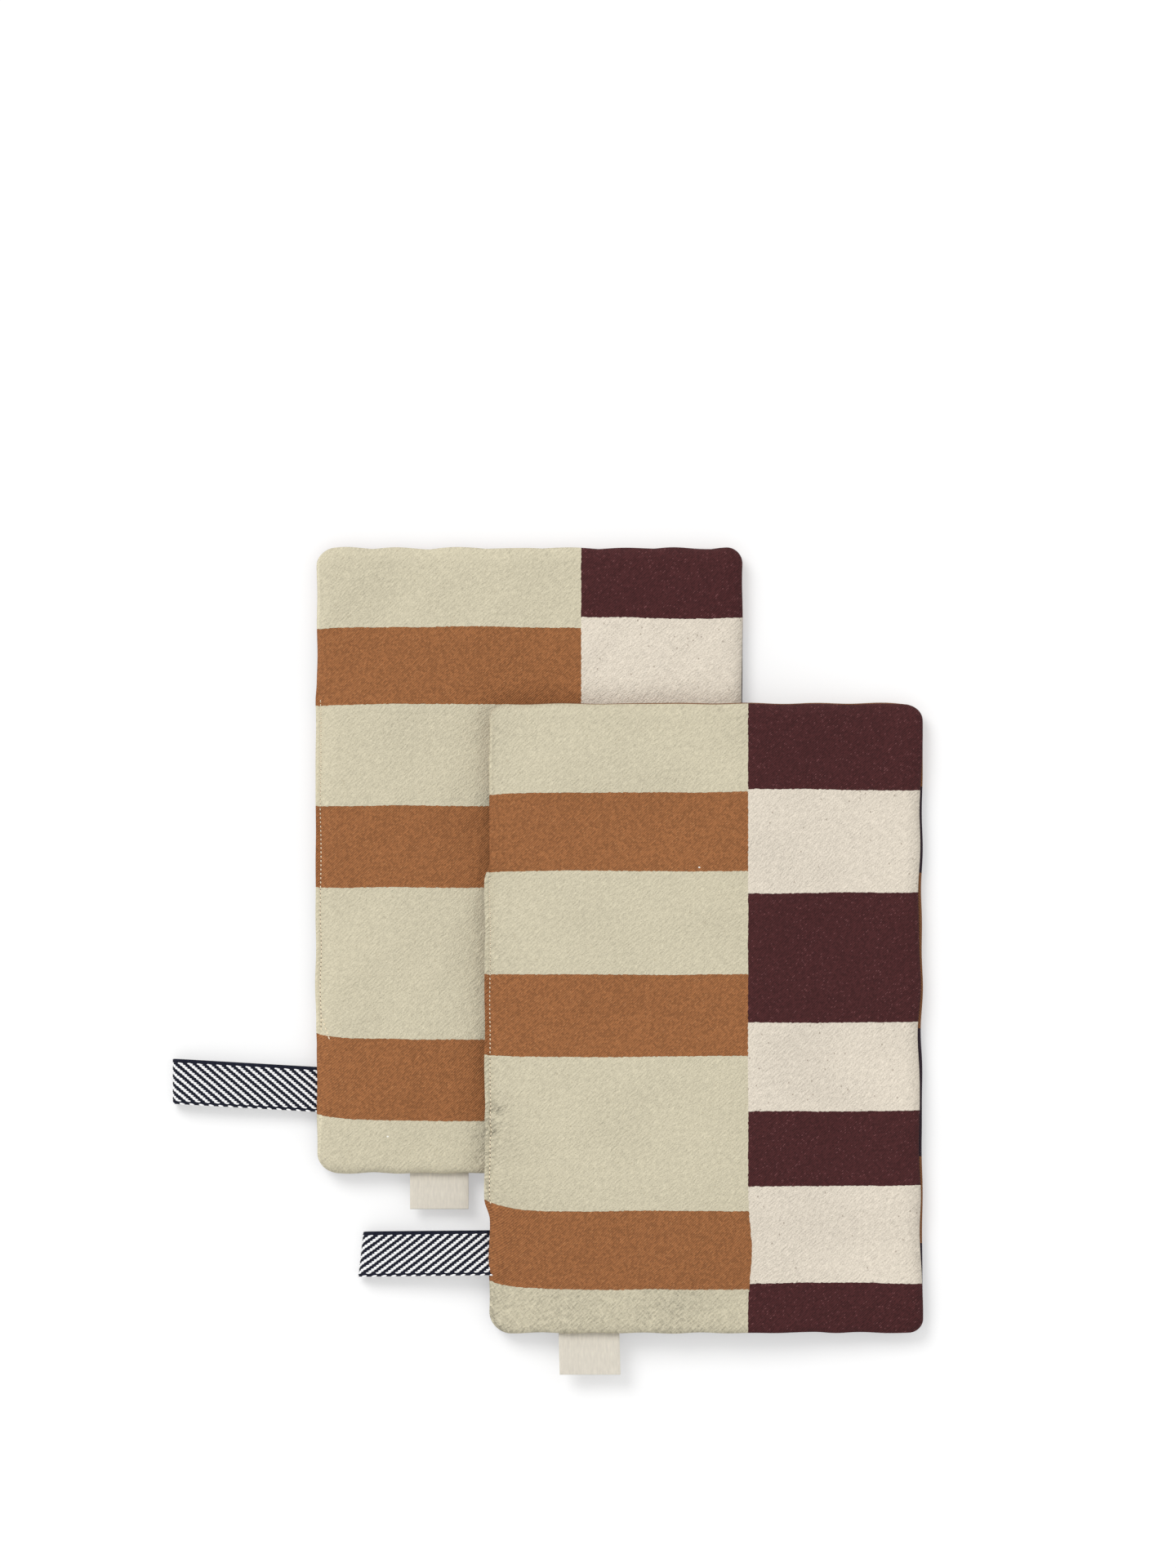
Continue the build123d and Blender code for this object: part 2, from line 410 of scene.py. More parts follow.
@dataclass(frozen=True)
class MittForm:
    """The shape of one mitt, read from its solids.

    lift is how much higher than the lower mitt this one lies, and ledge_right and
    ledge_mouth are how far the lower mitt reaches under it, from its left edge and from
    its mouth.
    """

    name: str
    left: float
    mouth: float
    width: float
    length: float
    seam_height: float
    half_thickness: float
    lift: float
    ledge_right: float
    ledge_mouth: float
    edges: Edges
    pillow: Pillow
    loop_span: tuple[float, float]

    closed_corner = 7.5 * MM
    left_mouth_corner = 9.5 * MM
    right_mouth_corner = 6 * MM
    cloth = 0.7 * MM
    lining_cloth = 0.4 * MM
    gap = 0.1 * MM
    hand_middle = 2.3 * MM
    hand_seam = 0.9 * MM
    hand_roll = 20 * MM
    seam_lip = 0.55 * MM
    edge_roll = 6.5 * MM
    slow_roll = 26 * MM
    mouth_roll = 4.5 * MM
    stitch_inset = 2.2 * MM
    flange_foot = 0.6 * MM
    flange_lip = 0.8 * MM
    bend_lead = 6 * MM
    side_foot = 10 * MM
    mouth_foot = 8 * MM
    mouth_gape = 4.5 * MM
    gape_ramp = 38 * MM
    floor_gap = 0.1 * MM
    tuck_down = 190 * MM
    dent_down = 179.5 * MM
    notch_across = 146.5 * MM
    seam_valley = 0.2 * MM
    broad_crease = 0.34 * MM
    small_crease = 0.10 * MM
    outline_fade = 16 * MM
    parting_fade = 5 * MM

    def bend(self, u: Array, v: Array) -> tuple[Array, Array]:
        """How far the mitt has come down to the floor, to the right and at the mouth."""
        start = self.ledge_right - self.bend_lead
        right = ease((u - start) / (self.width - self.side_foot - start))
        mouth = ease((self.ledge_mouth - v) / (self.ledge_mouth - self.mouth_foot))
        return right, mouth

    def plane(self, side: Side, u: Array, v: Array) -> Array:
        """Height of the seam line under or over a point, which a panel follows.

        Args:
            side: the panel. The front one stays up at the mouth and leaves it open.
            u: distances from the left edge.
            v: distances from the mouth.

        Returns:
            The heights above the floor.
        """
        if self.lift == 0:
            return np.full(np.broadcast(u, v).shape, self.seam_height)
        right, mouth = self.bend(u, v)
        drop = self.lift - self.floor_gap
        height = self.seam_height + self.floor_gap + drop * (1 - right) * (1 - mouth)
        if side is Side.FRONT:
            height = height + self.mouth_gape * (1 - right) * mouth * ease(u / self.gape_ramp)
        return height

    def hand(self, u: Array, v: Array) -> Array:
        """Half the height of the hand space."""
        fullness = rise(u, self.hand_roll) * rise(self.width - u, self.hand_roll)
        fullness = fullness * rise(self.length - v, self.hand_roll)
        return self.hand_seam + (self.hand_middle - self.hand_seam) * fullness

    def stitched(self, v: Array) -> Array:
        """1 where the left seam is closed by topstitching."""
        return window(v, self.edges.stitched_from, self.edges.stitched_to, 9 * MM)

    def fullness(self, u: Array, v: Array) -> Array:
        """How full the panel is, from 0 at the sewn edges to 1 in the middle."""
        past = u - self.edges.flange * self.stitched(v)
        foot = self.flange_foot * self.stitched(v) + 0.001 * MM
        left = np.where(past > foot, past, np.maximum(past + foot, 0) ** 2 / (4 * foot))
        total = 1.0
        for distance in (left, self.width - u, self.length - v):
            total = total * crown(distance, self.edge_roll)
            total = total * (0.84 + 0.16 * rise(distance, self.slow_roll))
        return total

    def cover(self, side: Side, u: Array, v: Array) -> Array:
        """Height of the cover's outside above the seam line, creases included."""
        lip = self.seam_lip + self.flange_lip * self.stitched(v)
        full = lip + (self.half_thickness - lip) * self.fullness(u, v)
        hem = self.hem(u, v)
        height = hem + (full - hem) * crown(v, self.mouth_roll)
        height = height - self.seam_line(u, v)
        return height + self.creases(side, u, v) * rise(v, 6 * MM)

    def seam_line(self, u: Array, v: Array) -> Array:
        """Depth of the valley that the topstitching pulls into the cover."""
        return self.seam_valley * self.stitched(v) * bell(u - self.stitch_inset, 0.75 * MM)

    def parting(self, v: Array) -> Array:
        """How far the back cover peeks out from under the front one at the right seam."""
        e = self.edges
        spread = ease((self.length - v - 15 * MM) / (45 * MM)) * ease((v - 10 * MM) / (60 * MM))
        return e.peek_right * spread * (0.85 + 0.2 * Ripple(e.seed + 15, 60 * MM)(v))

    def parted(self, u: Array, v: Array) -> tuple[Array, Array]:
        """Where the back cover's points lie, which peek out beyond the front cover's."""
        e = self.edges
        fade = self.parting_fade
        right = self.parting(v)
        top = e.peek_top * window(u, 12 * MM, self.width - 8 * MM, 12 * MM)
        top = top * (0.85 + 0.25 * Ripple(e.seed + 16, 70 * MM)(u))
        new_u = u + right * np.exp((u - self.width) / fade)
        new_v = v + top * np.exp((v - self.length) / fade)
        return new_u, new_v

    def hem(self, u: Array, v: Array) -> Array:
        """Height of the middle of the folded hem at the mouth."""
        near_side = crown(np.minimum(u, self.width - u), self.edge_roll)
        top = self.hand(u, v) + self.lining_cloth + self.cloth + 2 * self.gap
        return self.seam_lip + (top - 0.75 * MM - self.seam_lip) * near_side

    def creases(self, side: Side, u: Array, v: Array) -> Array:
        """Soft unevenness of the padded cloth, below its full height almost everywhere."""
        seed = self.edges.seed + (0 if side is Side.FRONT else 500)
        inner = self.fullness(u, v)
        broad = self.broad_crease * (Undulation(seed, 62 * MM)(u, v) - 1.1)
        small = self.small_crease * (Undulation(seed + 1, 17 * MM)(u, v) - 0.8)
        total = (broad + small) * inner
        edge = np.minimum(np.minimum(u, self.width - u), self.length - v)
        fade = np.exp(-np.maximum(edge, 0) / (14 * MM)) * rise(edge, 3 * MM)
        total = total + fade * (self.pillow(u, v) - 0.2 * MM)
        if self.edges.tuck:
            total = total - self.tucks(u, v)
        return total

    def tucks(self, u: Array, v: Array) -> Array:
        """Depth of the tuck and the dent beside the left seam."""
        tuck_v = v - (self.length - self.tuck_down)
        dent_v = v - (self.length - self.dent_down)
        tuck = 0.9 * MM * bell(tuck_v - 0.2 * u, 2 * MM) * bell(u - 3.5 * MM, 4 * MM)
        dent = 0.8 * MM * bell(dent_v + 0.3 * u, 3.5 * MM) * bell(u - 5 * MM, 5 * MM)
        return tuck + dent

    def rounded(self, u: Array, v: Array) -> tuple[Array, Array]:
        """Round the corners of a rectangular grid, and let its edges stray a little.

        Args:
            u: distances from the left edge, on a plain rectangle.
            v: distances from the mouth.

        Returns:
            Where those points lie inside the mitt's soft outline.
        """
        radius = np.where(u < self.width / 2, self.left_mouth_corner, self.right_mouth_corner)
        radius = np.where(v < self.length / 2, radius, self.closed_corner)
        a = np.clip((radius - np.minimum(u, self.width - u)) / radius, 0, 1)
        b = np.clip((radius - np.minimum(v, self.length - v)) / radius, 0, 1)
        across = a - a * np.sqrt(1 - b * b / 2)
        along = b - b * np.sqrt(1 - a * a / 2)
        u_in = np.where(u < self.width / 2, 1, -1) * across * radius
        v_in = np.where(v < self.length / 2, 1, -1) * along * radius
        return self.strayed(u + u_in, v + v_in)

    def strayed(self, u: Array, v: Array) -> tuple[Array, Array]:
        """Move points near the outline with its wobble, bulge, tuck and notch."""
        e = self.edges
        fade = self.outline_fade
        left = e.bulge * self.stitched(v) + e.wobble * Ripple(e.seed + 11, 30 * MM)(v)
        if e.tuck:
            left = left - e.tuck * bell(v - self.length + self.tuck_down, 2.6 * MM)
            left = left - 0.3 * e.tuck * bell(v - self.length + self.dent_down, 4 * MM)
        right = e.wobble * Ripple(e.seed + 12, 34 * MM)(v) - self.parting(v) + e.pushed_out
        top = e.wobble * Ripple(e.seed + 13, 30 * MM)(u) - e.pulled_in
        if e.scallop:
            top = top + e.scallop * (np.abs(np.sin(u * math.pi / e.scallop_pitch)) - 0.6)
        mouth = e.wobble * Ripple(e.seed + 14, 26 * MM)(u)
        if e.notch:
            mouth = mouth - e.notch * bell(u - self.notch_across, 6 * MM)
        new_u = u - left * np.exp(-u / fade) + right * np.exp((u - self.width) / fade)
        new_v = v - mouth * np.exp(-v / fade) + top * np.exp((v - self.length) / fade)
        return new_u, new_v

    def place(self, u: Array, v: Array, height: Array) -> Array:
        """Points of the frame for points of the mitt, one row each."""
        places = np.broadcast_arrays(self.left + u, self.mouth + v, height)
        return np.stack([place.ravel() for place in places], axis=1)


class Pair:
    """Both mitts, with what they do to each other where one lies on the other."""

    groove_depth = 0.35 * MM
    groove_reach = 5 * MM
    wrinkle_depth = 0.07 * MM
    # Crinkling and painted crease shade beside the left seam: strength, distance from the
    # left seam and from the closed end, and reach.
    crinkles_and_shade = (
        (0.6, 3 * MM, 186 * MM, 13 * MM),
        (3.0, 2.4 * MM, 190.3 * MM, 1.5 * MM),
        (1.3, 5.2 * MM, 179.8 * MM, 2.2 * MM),
    )

    def __init__(self) -> None:
        """Read both mitts' places and sizes from the frame."""
        low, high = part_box("lower_back_cover")
        over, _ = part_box("upper_back_cover")
        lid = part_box("lower_front_cover")[1].z
        seam = (low.z + lid) / 2
        common = {"seam_height": seam, "half_thickness": lid - seam}
        self.lower = self.mitt(
            "lower", 3, lift=0.0, ledge_right=high.x - low.x, ledge_mouth=0.0,
            edges=Edges(seed=40, scallop=0.6 * MM, stitched_from=61 * MM, stitched_to=213 * MM,
                        bulge=0.6 * MM, peek_right=0.4 * MM), **common,
        )
        self.upper = self.mitt(
            "upper", 4, lift=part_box("upper_front_cover")[1].z - lid,
            ledge_right=high.x - over.x, ledge_mouth=low.y - over.y,
            edges=Edges(seed=70, stitched_from=55 * MM, stitched_to=205 * MM,
                        tuck=0.7 * MM, notch=0.5 * MM, pulled_in=0.85 * MM, pushed_out=0.5 * MM,
                        peek_right=1.8 * MM, peek_top=0.5 * MM), **common,
        )

    def mitt(self, name: str, pillow_seed: int, **given: object) -> MittForm:
        """Read one mitt's place and size from the frame.

        Args:
            name: the mitt's name.
            pillow_seed: what sets its puckers.
            given: the rest of its form.

        Returns:
            The mitt's form.
        """
        low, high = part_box(f"{name}_back_cover")
        width, length = high.x - low.x, high.y - low.y
        return MittForm(
            name=name, left=low.x, mouth=low.y, width=width, length=length,
            pillow=Pillow(width, length, pillow_seed),
            loop_span=self.span(f"{name}_hanging_loop", low, 1), **given,
        )

    @staticmethod
    def span(node: str, corner: Vector, axis: int) -> tuple[float, float]:
        """Where a sewn-in piece starts and ends along its seam, from the mitt's corner."""
        low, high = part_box(node)
        return low[axis] - corner[axis], high[axis] - corner[axis]

    def under_upper(self, u: Array, v: Array) -> tuple[Array, Array]:
        """How far in from the upper mitt's left and top edges points of the lower one lie."""
        over = self.upper
        x = self.lower.left + u - over.left
        y = over.mouth + over.length - (self.lower.mouth + v)
        return x, y

    def pressed(self, u: Array, v: Array) -> Array:
        """How far the lower mitt's front is pressed in, under the upper one and beside it.

        Args:
            u: distances from the lower mitt's left edge.
            v: distances from its mouth.

        Returns:
            The depths, largest along the upper mitt's left and top edges.
        """
        x, y = self.under_upper(u, v)
        outside = np.maximum(np.maximum(-x, -y), 0)
        wrinkle = Ripple(91, 7 * MM)(x + y * 0.9) * bell(outside - 5 * MM, 5 * MM)
        depth = self.groove_depth * np.exp(-outside / self.groove_reach)
        beside = (x < 0) | (y < 0)
        depth = depth + np.where(beside, self.wrinkle_depth * wrinkle, 0)
        return depth * ease(np.minimum(u, self.lower.length - v) / (12 * MM))

    def slack_and_shade(self, form: MittForm, side: Side, u: Array, v: Array) -> Array:
        """How crinkled the cover is, from 0 where it is smooth upwards, and so how much painted
        shade it gets.

        Args:
            form: the mitt.
            side: its panel.
            u: distances from the left edge.
            v: distances from the mouth.

        Returns:
            The slackness, largest at the mouth and beside the mitt that lies on top. It also
            darkens the cover's colour: painted shade at the mouth, along the edges and in the
            tucks, and the upper mitt's painted shadow on the lower one.
        """
        edge = np.minimum(np.minimum(u, form.width - u), form.length - v)
        drawn = 0.15 if form is self.lower else 0.45
        # Crinkling and painted shade along the edges and towards the mouth, more on the upper mitt.
        total = drawn * np.exp(-np.maximum(edge, 0) / (5 * MM))
        total = total + 0.09 * (1 + Undulation(form.edges.seed + 41, 45 * MM)(u, v))
        total = total + drawn * ease((26 * MM - v) / (10 * MM))
        total = total + 0.8 * drawn * np.exp(-np.maximum(v, 0) / (7 * MM))
        # Crinkling and painted crease shade along the upper mitt's left seam and in its tucks and
        # dents.
        if form.edges.tuck:
            total = total + 0.7 * np.exp(-np.maximum(u, 0) / (4 * MM))
            for strength, across, down, reach in self.crinkles_and_shade:
                distance = np.hypot(u - across, form.length - v - down)
                total = total + strength * bell(distance, reach)
        # Crinkling and the upper mitt's painted shadow on the lower mitt's front, beside its left
        # and top edges.
        if form is self.lower and side is Side.FRONT:
            x, y = self.under_upper(u, v)
            total = total + 0.35 * bell(np.maximum(-x, -y) - 4 * MM, 4 * MM)
        return np.clip(total, 0, 3)

    def cover(self, form: MittForm, side: Side, u: Array, v: Array) -> Array:
        """Height of a cover's outside above its seam line, clear of the other mitt.

        Args:
            form: the mitt.
            side: its panel.
            u: distances from the left edge.
            v: distances from the mouth.

        Returns:
            The heights.
        """
        height = form.cover(side, u, v)
        if form is self.lower and side is Side.FRONT:
            height = height - self.pressed(u, v)
        return np.clip(height, form.seam_lip * 0.5, form.half_thickness)


# ------------ nodes


def operator(operation: str, swapped: bool = False) -> Callable[..., Wire]:
    """Make a method of Wire that lays one Math node.

    Args:
        operation: what the node does.
        swapped: whether the other value is the first input.

    Returns:
        The method.
    """

    def method(self: Wire, *others: Wire | float) -> Wire:
        """Lay the node and return its output."""
        return self.math(operation, *((*others, self) if swapped else (self, *others)))

    return method


class Wire:
    """An output socket, with arithmetic that lays Math nodes behind it."""

    def __init__(self, bench: Bench, socket: bpy.types.NodeSocket) -> None:
        """Wrap a socket of the bench's tree."""
        self.bench = bench
        self.socket = socket

    def math(self, operation: str, *values: Wire | float) -> Wire:
        """Lay one Math node with these inputs, and return its output."""
        return self.bench.wire("ShaderNodeMath", {"operation": operation}, dict(enumerate(values)))

    __add__ = operator("ADD")
    __radd__ = operator("ADD", swapped=True)
    __sub__ = operator("SUBTRACT")
    __rsub__ = operator("SUBTRACT", swapped=True)
    __mul__ = operator("MULTIPLY")
    __rmul__ = operator("MULTIPLY", swapped=True)
    __truediv__ = operator("DIVIDE")
    __gt__ = operator("GREATER_THAN")
    __lt__ = operator("LESS_THAN")
    __mod__ = operator("FLOORED_MODULO")
    floor = operator("FLOOR")
    sine = operator("SINE")

    def wave(self) -> Wire:
        """A wave from 0 to 1 with one crest for each whole number."""
        return 0.5 + 0.5 * (self * math.tau).sine()

    def clamped(self) -> Wire:
        """Kept between 0 and 1."""
        return self.math("MAXIMUM", self.math("MINIMUM", self, 1.0), 0.0)


class Bench:
    """Lays the nodes of one tree, for a material or for Geometry Nodes."""

    def __init__(self, tree: bpy.types.NodeTree) -> None:
        """Start with an empty tree."""
        self.tree = tree
        tree.nodes.clear()

    def node(
        self,
        kind: str,
        settings: dict[str, object] | None = None,
        inputs: dict[str | int, object] | None = None,
    ) -> bpy.types.Node:
        """Lay one node.

        Args:
            kind: the node's type.
            settings: its properties, set first.
            inputs: a value or a wire for each of its sockets, by name or number.

        Returns:
            The node.
        """
        made = self.tree.nodes.new(kind)
        column, row = divmod(len(self.tree.nodes), 9)
        made.location = (220 * column, -170 * row)
        for name, value in (settings or {}).items():
            setattr(made, name, value)
        for key, value in (inputs or {}).items():
            if isinstance(value, Wire):
                self.tree.links.new(value.socket, made.inputs[key])
            else:
                made.inputs[key].default_value = value
        return made

    def wire(
        self,
        kind: str,
        settings: dict[str, object] | None = None,
        inputs: dict[str | int, object] | None = None,
        output: str | int = 0,
    ) -> Wire:
        """Lay one node and return one of its outputs."""
        return Wire(self, self.node(kind, settings, inputs).outputs[output])

    def vector(self, x: Wire | float, y: Wire | float, z: Wire | float = 0.0) -> Wire:
        """Join three numbers into a vector."""
        return self.wire("ShaderNodeCombineXYZ", None, {0: x, 1: y, 2: z})

    def split(self, vector: Wire) -> tuple[Wire, Wire, Wire]:
        """Take a vector apart."""
        node = self.node("ShaderNodeSeparateXYZ", None, {0: vector})
        x, y, z = (Wire(self, output) for output in node.outputs)
        return x, y, z

    def vectors(self, operation: str, one: Wire, two: Wire) -> Wire:
        """Lay one node of arithmetic on two vectors."""
        return self.wire("ShaderNodeVectorMath", {"operation": operation}, {0: one, 1: two})

    def scaled(self, vector: Wire, scale: Wire | float) -> Wire:
        """A vector made longer or shorter."""
        inputs = {0: vector, "Scale": scale}
        return self.wire("ShaderNodeVectorMath", {"operation": "SCALE"}, inputs)

    def noise(self, *place: Wire | float, detail: float, roughness: float) -> Wire:
        """Soft noise with features about one unit wide, at a place of three numbers."""
        values = {"Scale": 1.0, "Detail": detail, "Roughness": roughness}
        values["Vector"] = self.vector(*place)
        return self.wire("ShaderNodeTexNoise", {"noise_dimensions": "3D"}, values)

    def chance(self, *place: Wire | float) -> Wire:
        """A random number from 0 to 1 for each place of three numbers."""
        settings = {"noise_dimensions": "3D"}
        return self.wire("ShaderNodeTexWhiteNoise", settings, {"Vector": self.vector(*place)})

    def blend(self, share: Wire | float, one: object, two: object) -> Wire:
        """Mix two colours, from one at 0 to two at 1."""
        return self.wire("ShaderNodeMix", {"data_type": "RGBA"}, {0: share, 6: one, 7: two}, 2)


@dataclass
class Finish:
    """One material: a Principled shader whose colour, roughness and bump vary."""

    name: str

    specular = 0.25
    bump_height = 0.2 * MM

    def __post_init__(self) -> None:
        """Make the material and lay its nodes."""
        self.material = bpy.data.materials.new(self.name)
        self.material.use_nodes = True
        self.bench = Bench(self.material.node_tree)
        colour, relief, roughness = self.surface()
        bump = {"Strength": 1.0, "Distance": self.bump_height, "Height": relief}
        normal = self.bench.wire("ShaderNodeBump", None, bump)
        values = {"Base Color": colour, "Roughness": roughness, "Normal": normal}
        values["Specular IOR Level"] = self.specular
        shader = self.bench.wire("ShaderNodeBsdfPrincipled", None, values)
        self.bench.node("ShaderNodeOutputMaterial", None, {"Surface": shader})

    def surface(self) -> tuple[Wire, Wire, Wire | float]:
        """Lay the nodes that vary, and return the colour, the relief and the roughness."""
        raise NotImplementedError

    def object_place(self) -> tuple[Wire, Wire, Wire]:
        """Object coordinates in millimetres."""
        place = self.bench.wire("ShaderNodeTexCoord", None, None, "Object")
        return self.bench.split(self.bench.scaled(place, 1 / MM))

    def cloth_place(self) -> tuple[Wire, Wire, Wire]:
        """Place on the flat cloth in millimetres, from the piece's own attribute."""
        settings = {"attribute_type": "GEOMETRY", "attribute_name": "cloth"}
        place = self.bench.wire("ShaderNodeAttribute", settings, None, "Vector")
        return self.bench.split(self.bench.scaled(place, 1 / MM))

    @staticmethod
    def alternating(place: Wire, changes: Sequence[float]) -> Wire | float:
        """1 in every second stretch between the changes, starting from 0."""
        total: Wire | float = 0.0
        for number, change in enumerate(changes):
            total = (place > change) * (1 if number % 2 == 0 else -1) + total
        return total

    def shaded(self, colour: Wire | tuple[float, ...], shade: Wire) -> Wire:
        """A colour, lighter or darker by a shade around 1."""
        grey = self.bench.wire("ShaderNodeCombineColor", None, {0: shade, 1: shade, 2: shade})
        settings = {"data_type": "RGBA", "blend_type": "MULTIPLY", "clamp_result": False}
        return self.bench.wire("ShaderNodeMix", settings, {0: 1.0, 6: colour, 7: grey}, 2)

    def dress(self, piece: bpy.types.Object) -> None:
        """Put the material on a piece."""
        piece.data.materials.clear()
        piece.data.materials.append(self.material)


@dataclass(frozen=True)
class Grain:
    """A noise: how fine it is along two coordinates, which one it is, and its detail."""

    fine_x: float
    fine_y: float
    seed: float
    detail: float = 1.0
    roughness: float = 0.5

    def lay(self, x: Wire, y: Wire) -> Wire:
        """Lay it over two coordinates."""
        place = (x * self.fine_x, y * self.fine_y, self.seed)
        return x.bench.noise(*place, detail=self.detail, roughness=self.roughness)


class Spot(NamedTuple):
    """A place on a cloth, in millimetres.

    x is across the cloth and y along it, while along and across follow its diagonal.
    slack_and_shade is how loose the cloth is there, which deepens its crinkle relief and darkens
    its colour as painted shade.
    """

    x: Wire
    y: Wire
    along: Wire
    across: Wire
    slack_and_shade: Wire


@dataclass
class StripedDoubleCloth(Finish):
    """A cotton double cloth: crepe of one colour and twill of another, in blocks.

    The cloth has two columns, which meet at column, in millimetres from the left edge.
    Each one's stripes run across it, and change colour at the distances given, in
    millimetres from the closed end: left starts with sage crepe and right with wine
    twill. The crepe has a painted highlight in the rim along its left edge, where the
    folded-over edge catches the light. The crepe and twill both get painted shade where
    the cloth lies loose. lint is where a tiny white speck lies on the cloth.
    """

    column: float
    left: Sequence[float]
    right: Sequence[float]
    lint: tuple[float, float]

    SAGE = srgb(203, 195, 170)
    CREAM = srgb(221, 211, 195)
    RUST = srgb(156, 102, 63)
    WINE = srgb(74, 37, 38)
    SAGE_FLECK = srgb(170, 156, 128)
    CREAM_FLECK = srgb(138, 122, 108)
    RUST_SPECK = srgb(196, 138, 92)
    WINE_SPECK = srgb(136, 86, 88)
    LINT = srgb(250, 248, 240)
    SWAY = Grain(0.03, 0.03, 0.0)
    WANDER = Grain(0.5, 0.5, 3.0)
    PATCH = Grain(0.22, 0.22, 8.0)
    CRINKLE = Grain(0.34, 1.3, 4.0, detail=2.0, roughness=0.6)
    FOLDS = Grain(0.30, 0.95, 13.0)
    CROSS_FOLDS = Grain(0.26, 0.85, 15.0)
    LOOSE_FIBRE = Grain(1.9, 1.9, 9.0)
    DRIFT = Grain(0.35, 0.35, 1.0)
    STREAK = Grain(1.0, 2.0, 6.0, detail=2.0, roughness=0.6)
    bump_height = 0.28 * MM
    specular = 0.18
    tooth = 1.1
    tooth_depth = 0.3
    twill_pitch = 0.78
    rim = 1.2
    painted_rim_highlight = 0.16
    crepe_pitch = 1.25
    without_fleck = 0.9962
    without_speck = 0.955
    lint_size = 0.45
    counter_from = 195.0
    counter_fade = 20.0

    def crepe(self, spot: Spot) -> tuple[Wire, Wire, Wire]:
        """Crinkled crepe weave.

        Args:
            spot: where it is laid. Where it lies loose, its crinkling deepens and it gets painted
                shade.

        Returns:
            Its shade, its relief and where dark threads show through.
        """
        x, y, along, across, slack_and_shade = spot
        bench = self.bench
        wander = self.WANDER.lay(x, y) * 2.6
        one_way = (across / self.crepe_pitch + wander).wave()
        other_way = (along / self.crepe_pitch - wander).wave()
        patch = self.PATCH.lay(x, y)
        weave = one_way * patch + other_way * (1 - patch)
        fine = self.CRINKLE.lay(along, across)
        broad = self.FOLDS.lay(along, across)
        counter = self.CROSS_FOLDS.lay(across, along)
        low = ((y - self.counter_from) / self.counter_fade).clamped()
        broad = broad + (counter - 0.5) * low
        grain = self.LOOSE_FIBRE.lay(x, y)
        fleck = bench.chance((x / 0.6).floor(), (y / 0.75).floor(), 5.0) > self.without_fleck
        ridges = weave * 0.5 + fine * 0.9 + grain * 0.6 + broad * slack_and_shade * 2.8
        # Painted shade: where the cloth lies loose, the broad folds shade its colour and it
        # darkens, at the mouth, the edges, the tucks and in the upper mitt's shadow.
        shade = 0.496 + 0.14 * weave + 0.65 * fine + 0.34 * grain + (broad - 0.5) * slack_and_shade * 0.6
        return shade - 0.14 * slack_and_shade, ridges, fleck

    def twill(self, spot: Spot) -> tuple[Wire, Wire, Wire]:
        """Fine diagonal twill.

        Args:
            spot: where it is laid. Where it lies loose, its folds deepen and it gets a little
                painted shade.

        Returns:
            Its shade, its relief and where light specks lie.
        """
        x, y, along, across, slack_and_shade = spot
        bench = self.bench
        drift = self.DRIFT.lay(x, y)
        line = (across / self.twill_pitch + drift * 0.9).wave()
        thread = bench.chance((along / 0.9).floor(), (across / self.twill_pitch).floor(), 2.0)
        streak = self.STREAK.lay(along, across)
        chance = bench.chance((x / 0.6).floor(), (y / 0.6).floor(), 7.0)
        speck = (chance > self.without_speck) * line
        # Painted shade: the twill darkens a little where the cloth lies loose.
        shade = 0.492 + 0.3 * line + 0.4 * thread + 0.36 * streak - 0.05 * slack_and_shade
        broad = self.FOLDS.lay(along, across)
        return shade, line * 0.6 + thread * 0.2 + streak * 0.3 + broad * slack_and_shade * 3.0, speck

    def surface(self) -> tuple[Wire, Wire, Wire | float]:
        """Lay the two weaves in their blocks."""
        bench = self.bench
        x, y, slack_and_shade = self.cloth_place()
        sway = self.SWAY.lay(x, y) - 0.5
        warp = bench.chance((x / self.tooth).floor(), 3.0, 1.0)
        weft = bench.chance(4.0, (y / self.tooth).floor(), 1.0)
        down = y + warp * self.tooth_depth + sway
        in_right = (x + weft * self.tooth_depth + sway * 0.5) > self.column
        dark_left = self.alternating(down, self.left)
        dark_right = 1 - self.alternating(down, self.right)
        dark = dark_left * (1 - in_right) + dark_right * in_right
        spot = Spot(x, y, x * DIAGONAL_Y - y * DIAGONAL_X, x * DIAGONAL_X + y * DIAGONAL_Y, slack_and_shade)
        crepe_shade, crepe_relief, fleck = self.crepe(spot)
        # Painted highlight: the crepe is lighter on the folded-over rim along its left edge, where
        # the roll catches the light.
        crepe_shade = crepe_shade + self.painted_rim_highlight * (x < self.rim)
        twill_shade, twill_relief, speck = self.twill(spot)
        crepe_colour = bench.blend(in_right, self.SAGE, self.CREAM)
        crepe_colour = self.shaded(crepe_colour, crepe_shade)
        dark_fleck = bench.blend(in_right, self.SAGE_FLECK, self.CREAM_FLECK)
        crepe_colour = bench.blend(fleck * (0.3 + 0.25 * in_right), crepe_colour, dark_fleck)
        twill_colour = bench.blend(in_right, self.RUST, self.WINE)
        twill_colour = self.shaded(twill_colour, twill_shade)
        light_speck = bench.blend(in_right, self.RUST_SPECK, self.WINE_SPECK)
        twill_colour = bench.blend(speck * 0.6, twill_colour, light_speck)
        colour = bench.blend(dark, crepe_colour, twill_colour)
        off_x = x - self.lint[0]
        off_y = y - self.lint[1]
        lint = (off_x * off_x + off_y * off_y * 1.8) < self.lint_size**2
        colour = bench.blend(lint, colour, self.LINT)
        relief = crepe_relief * (1 - dark) + twill_relief * dark
        return colour, relief, 0.9


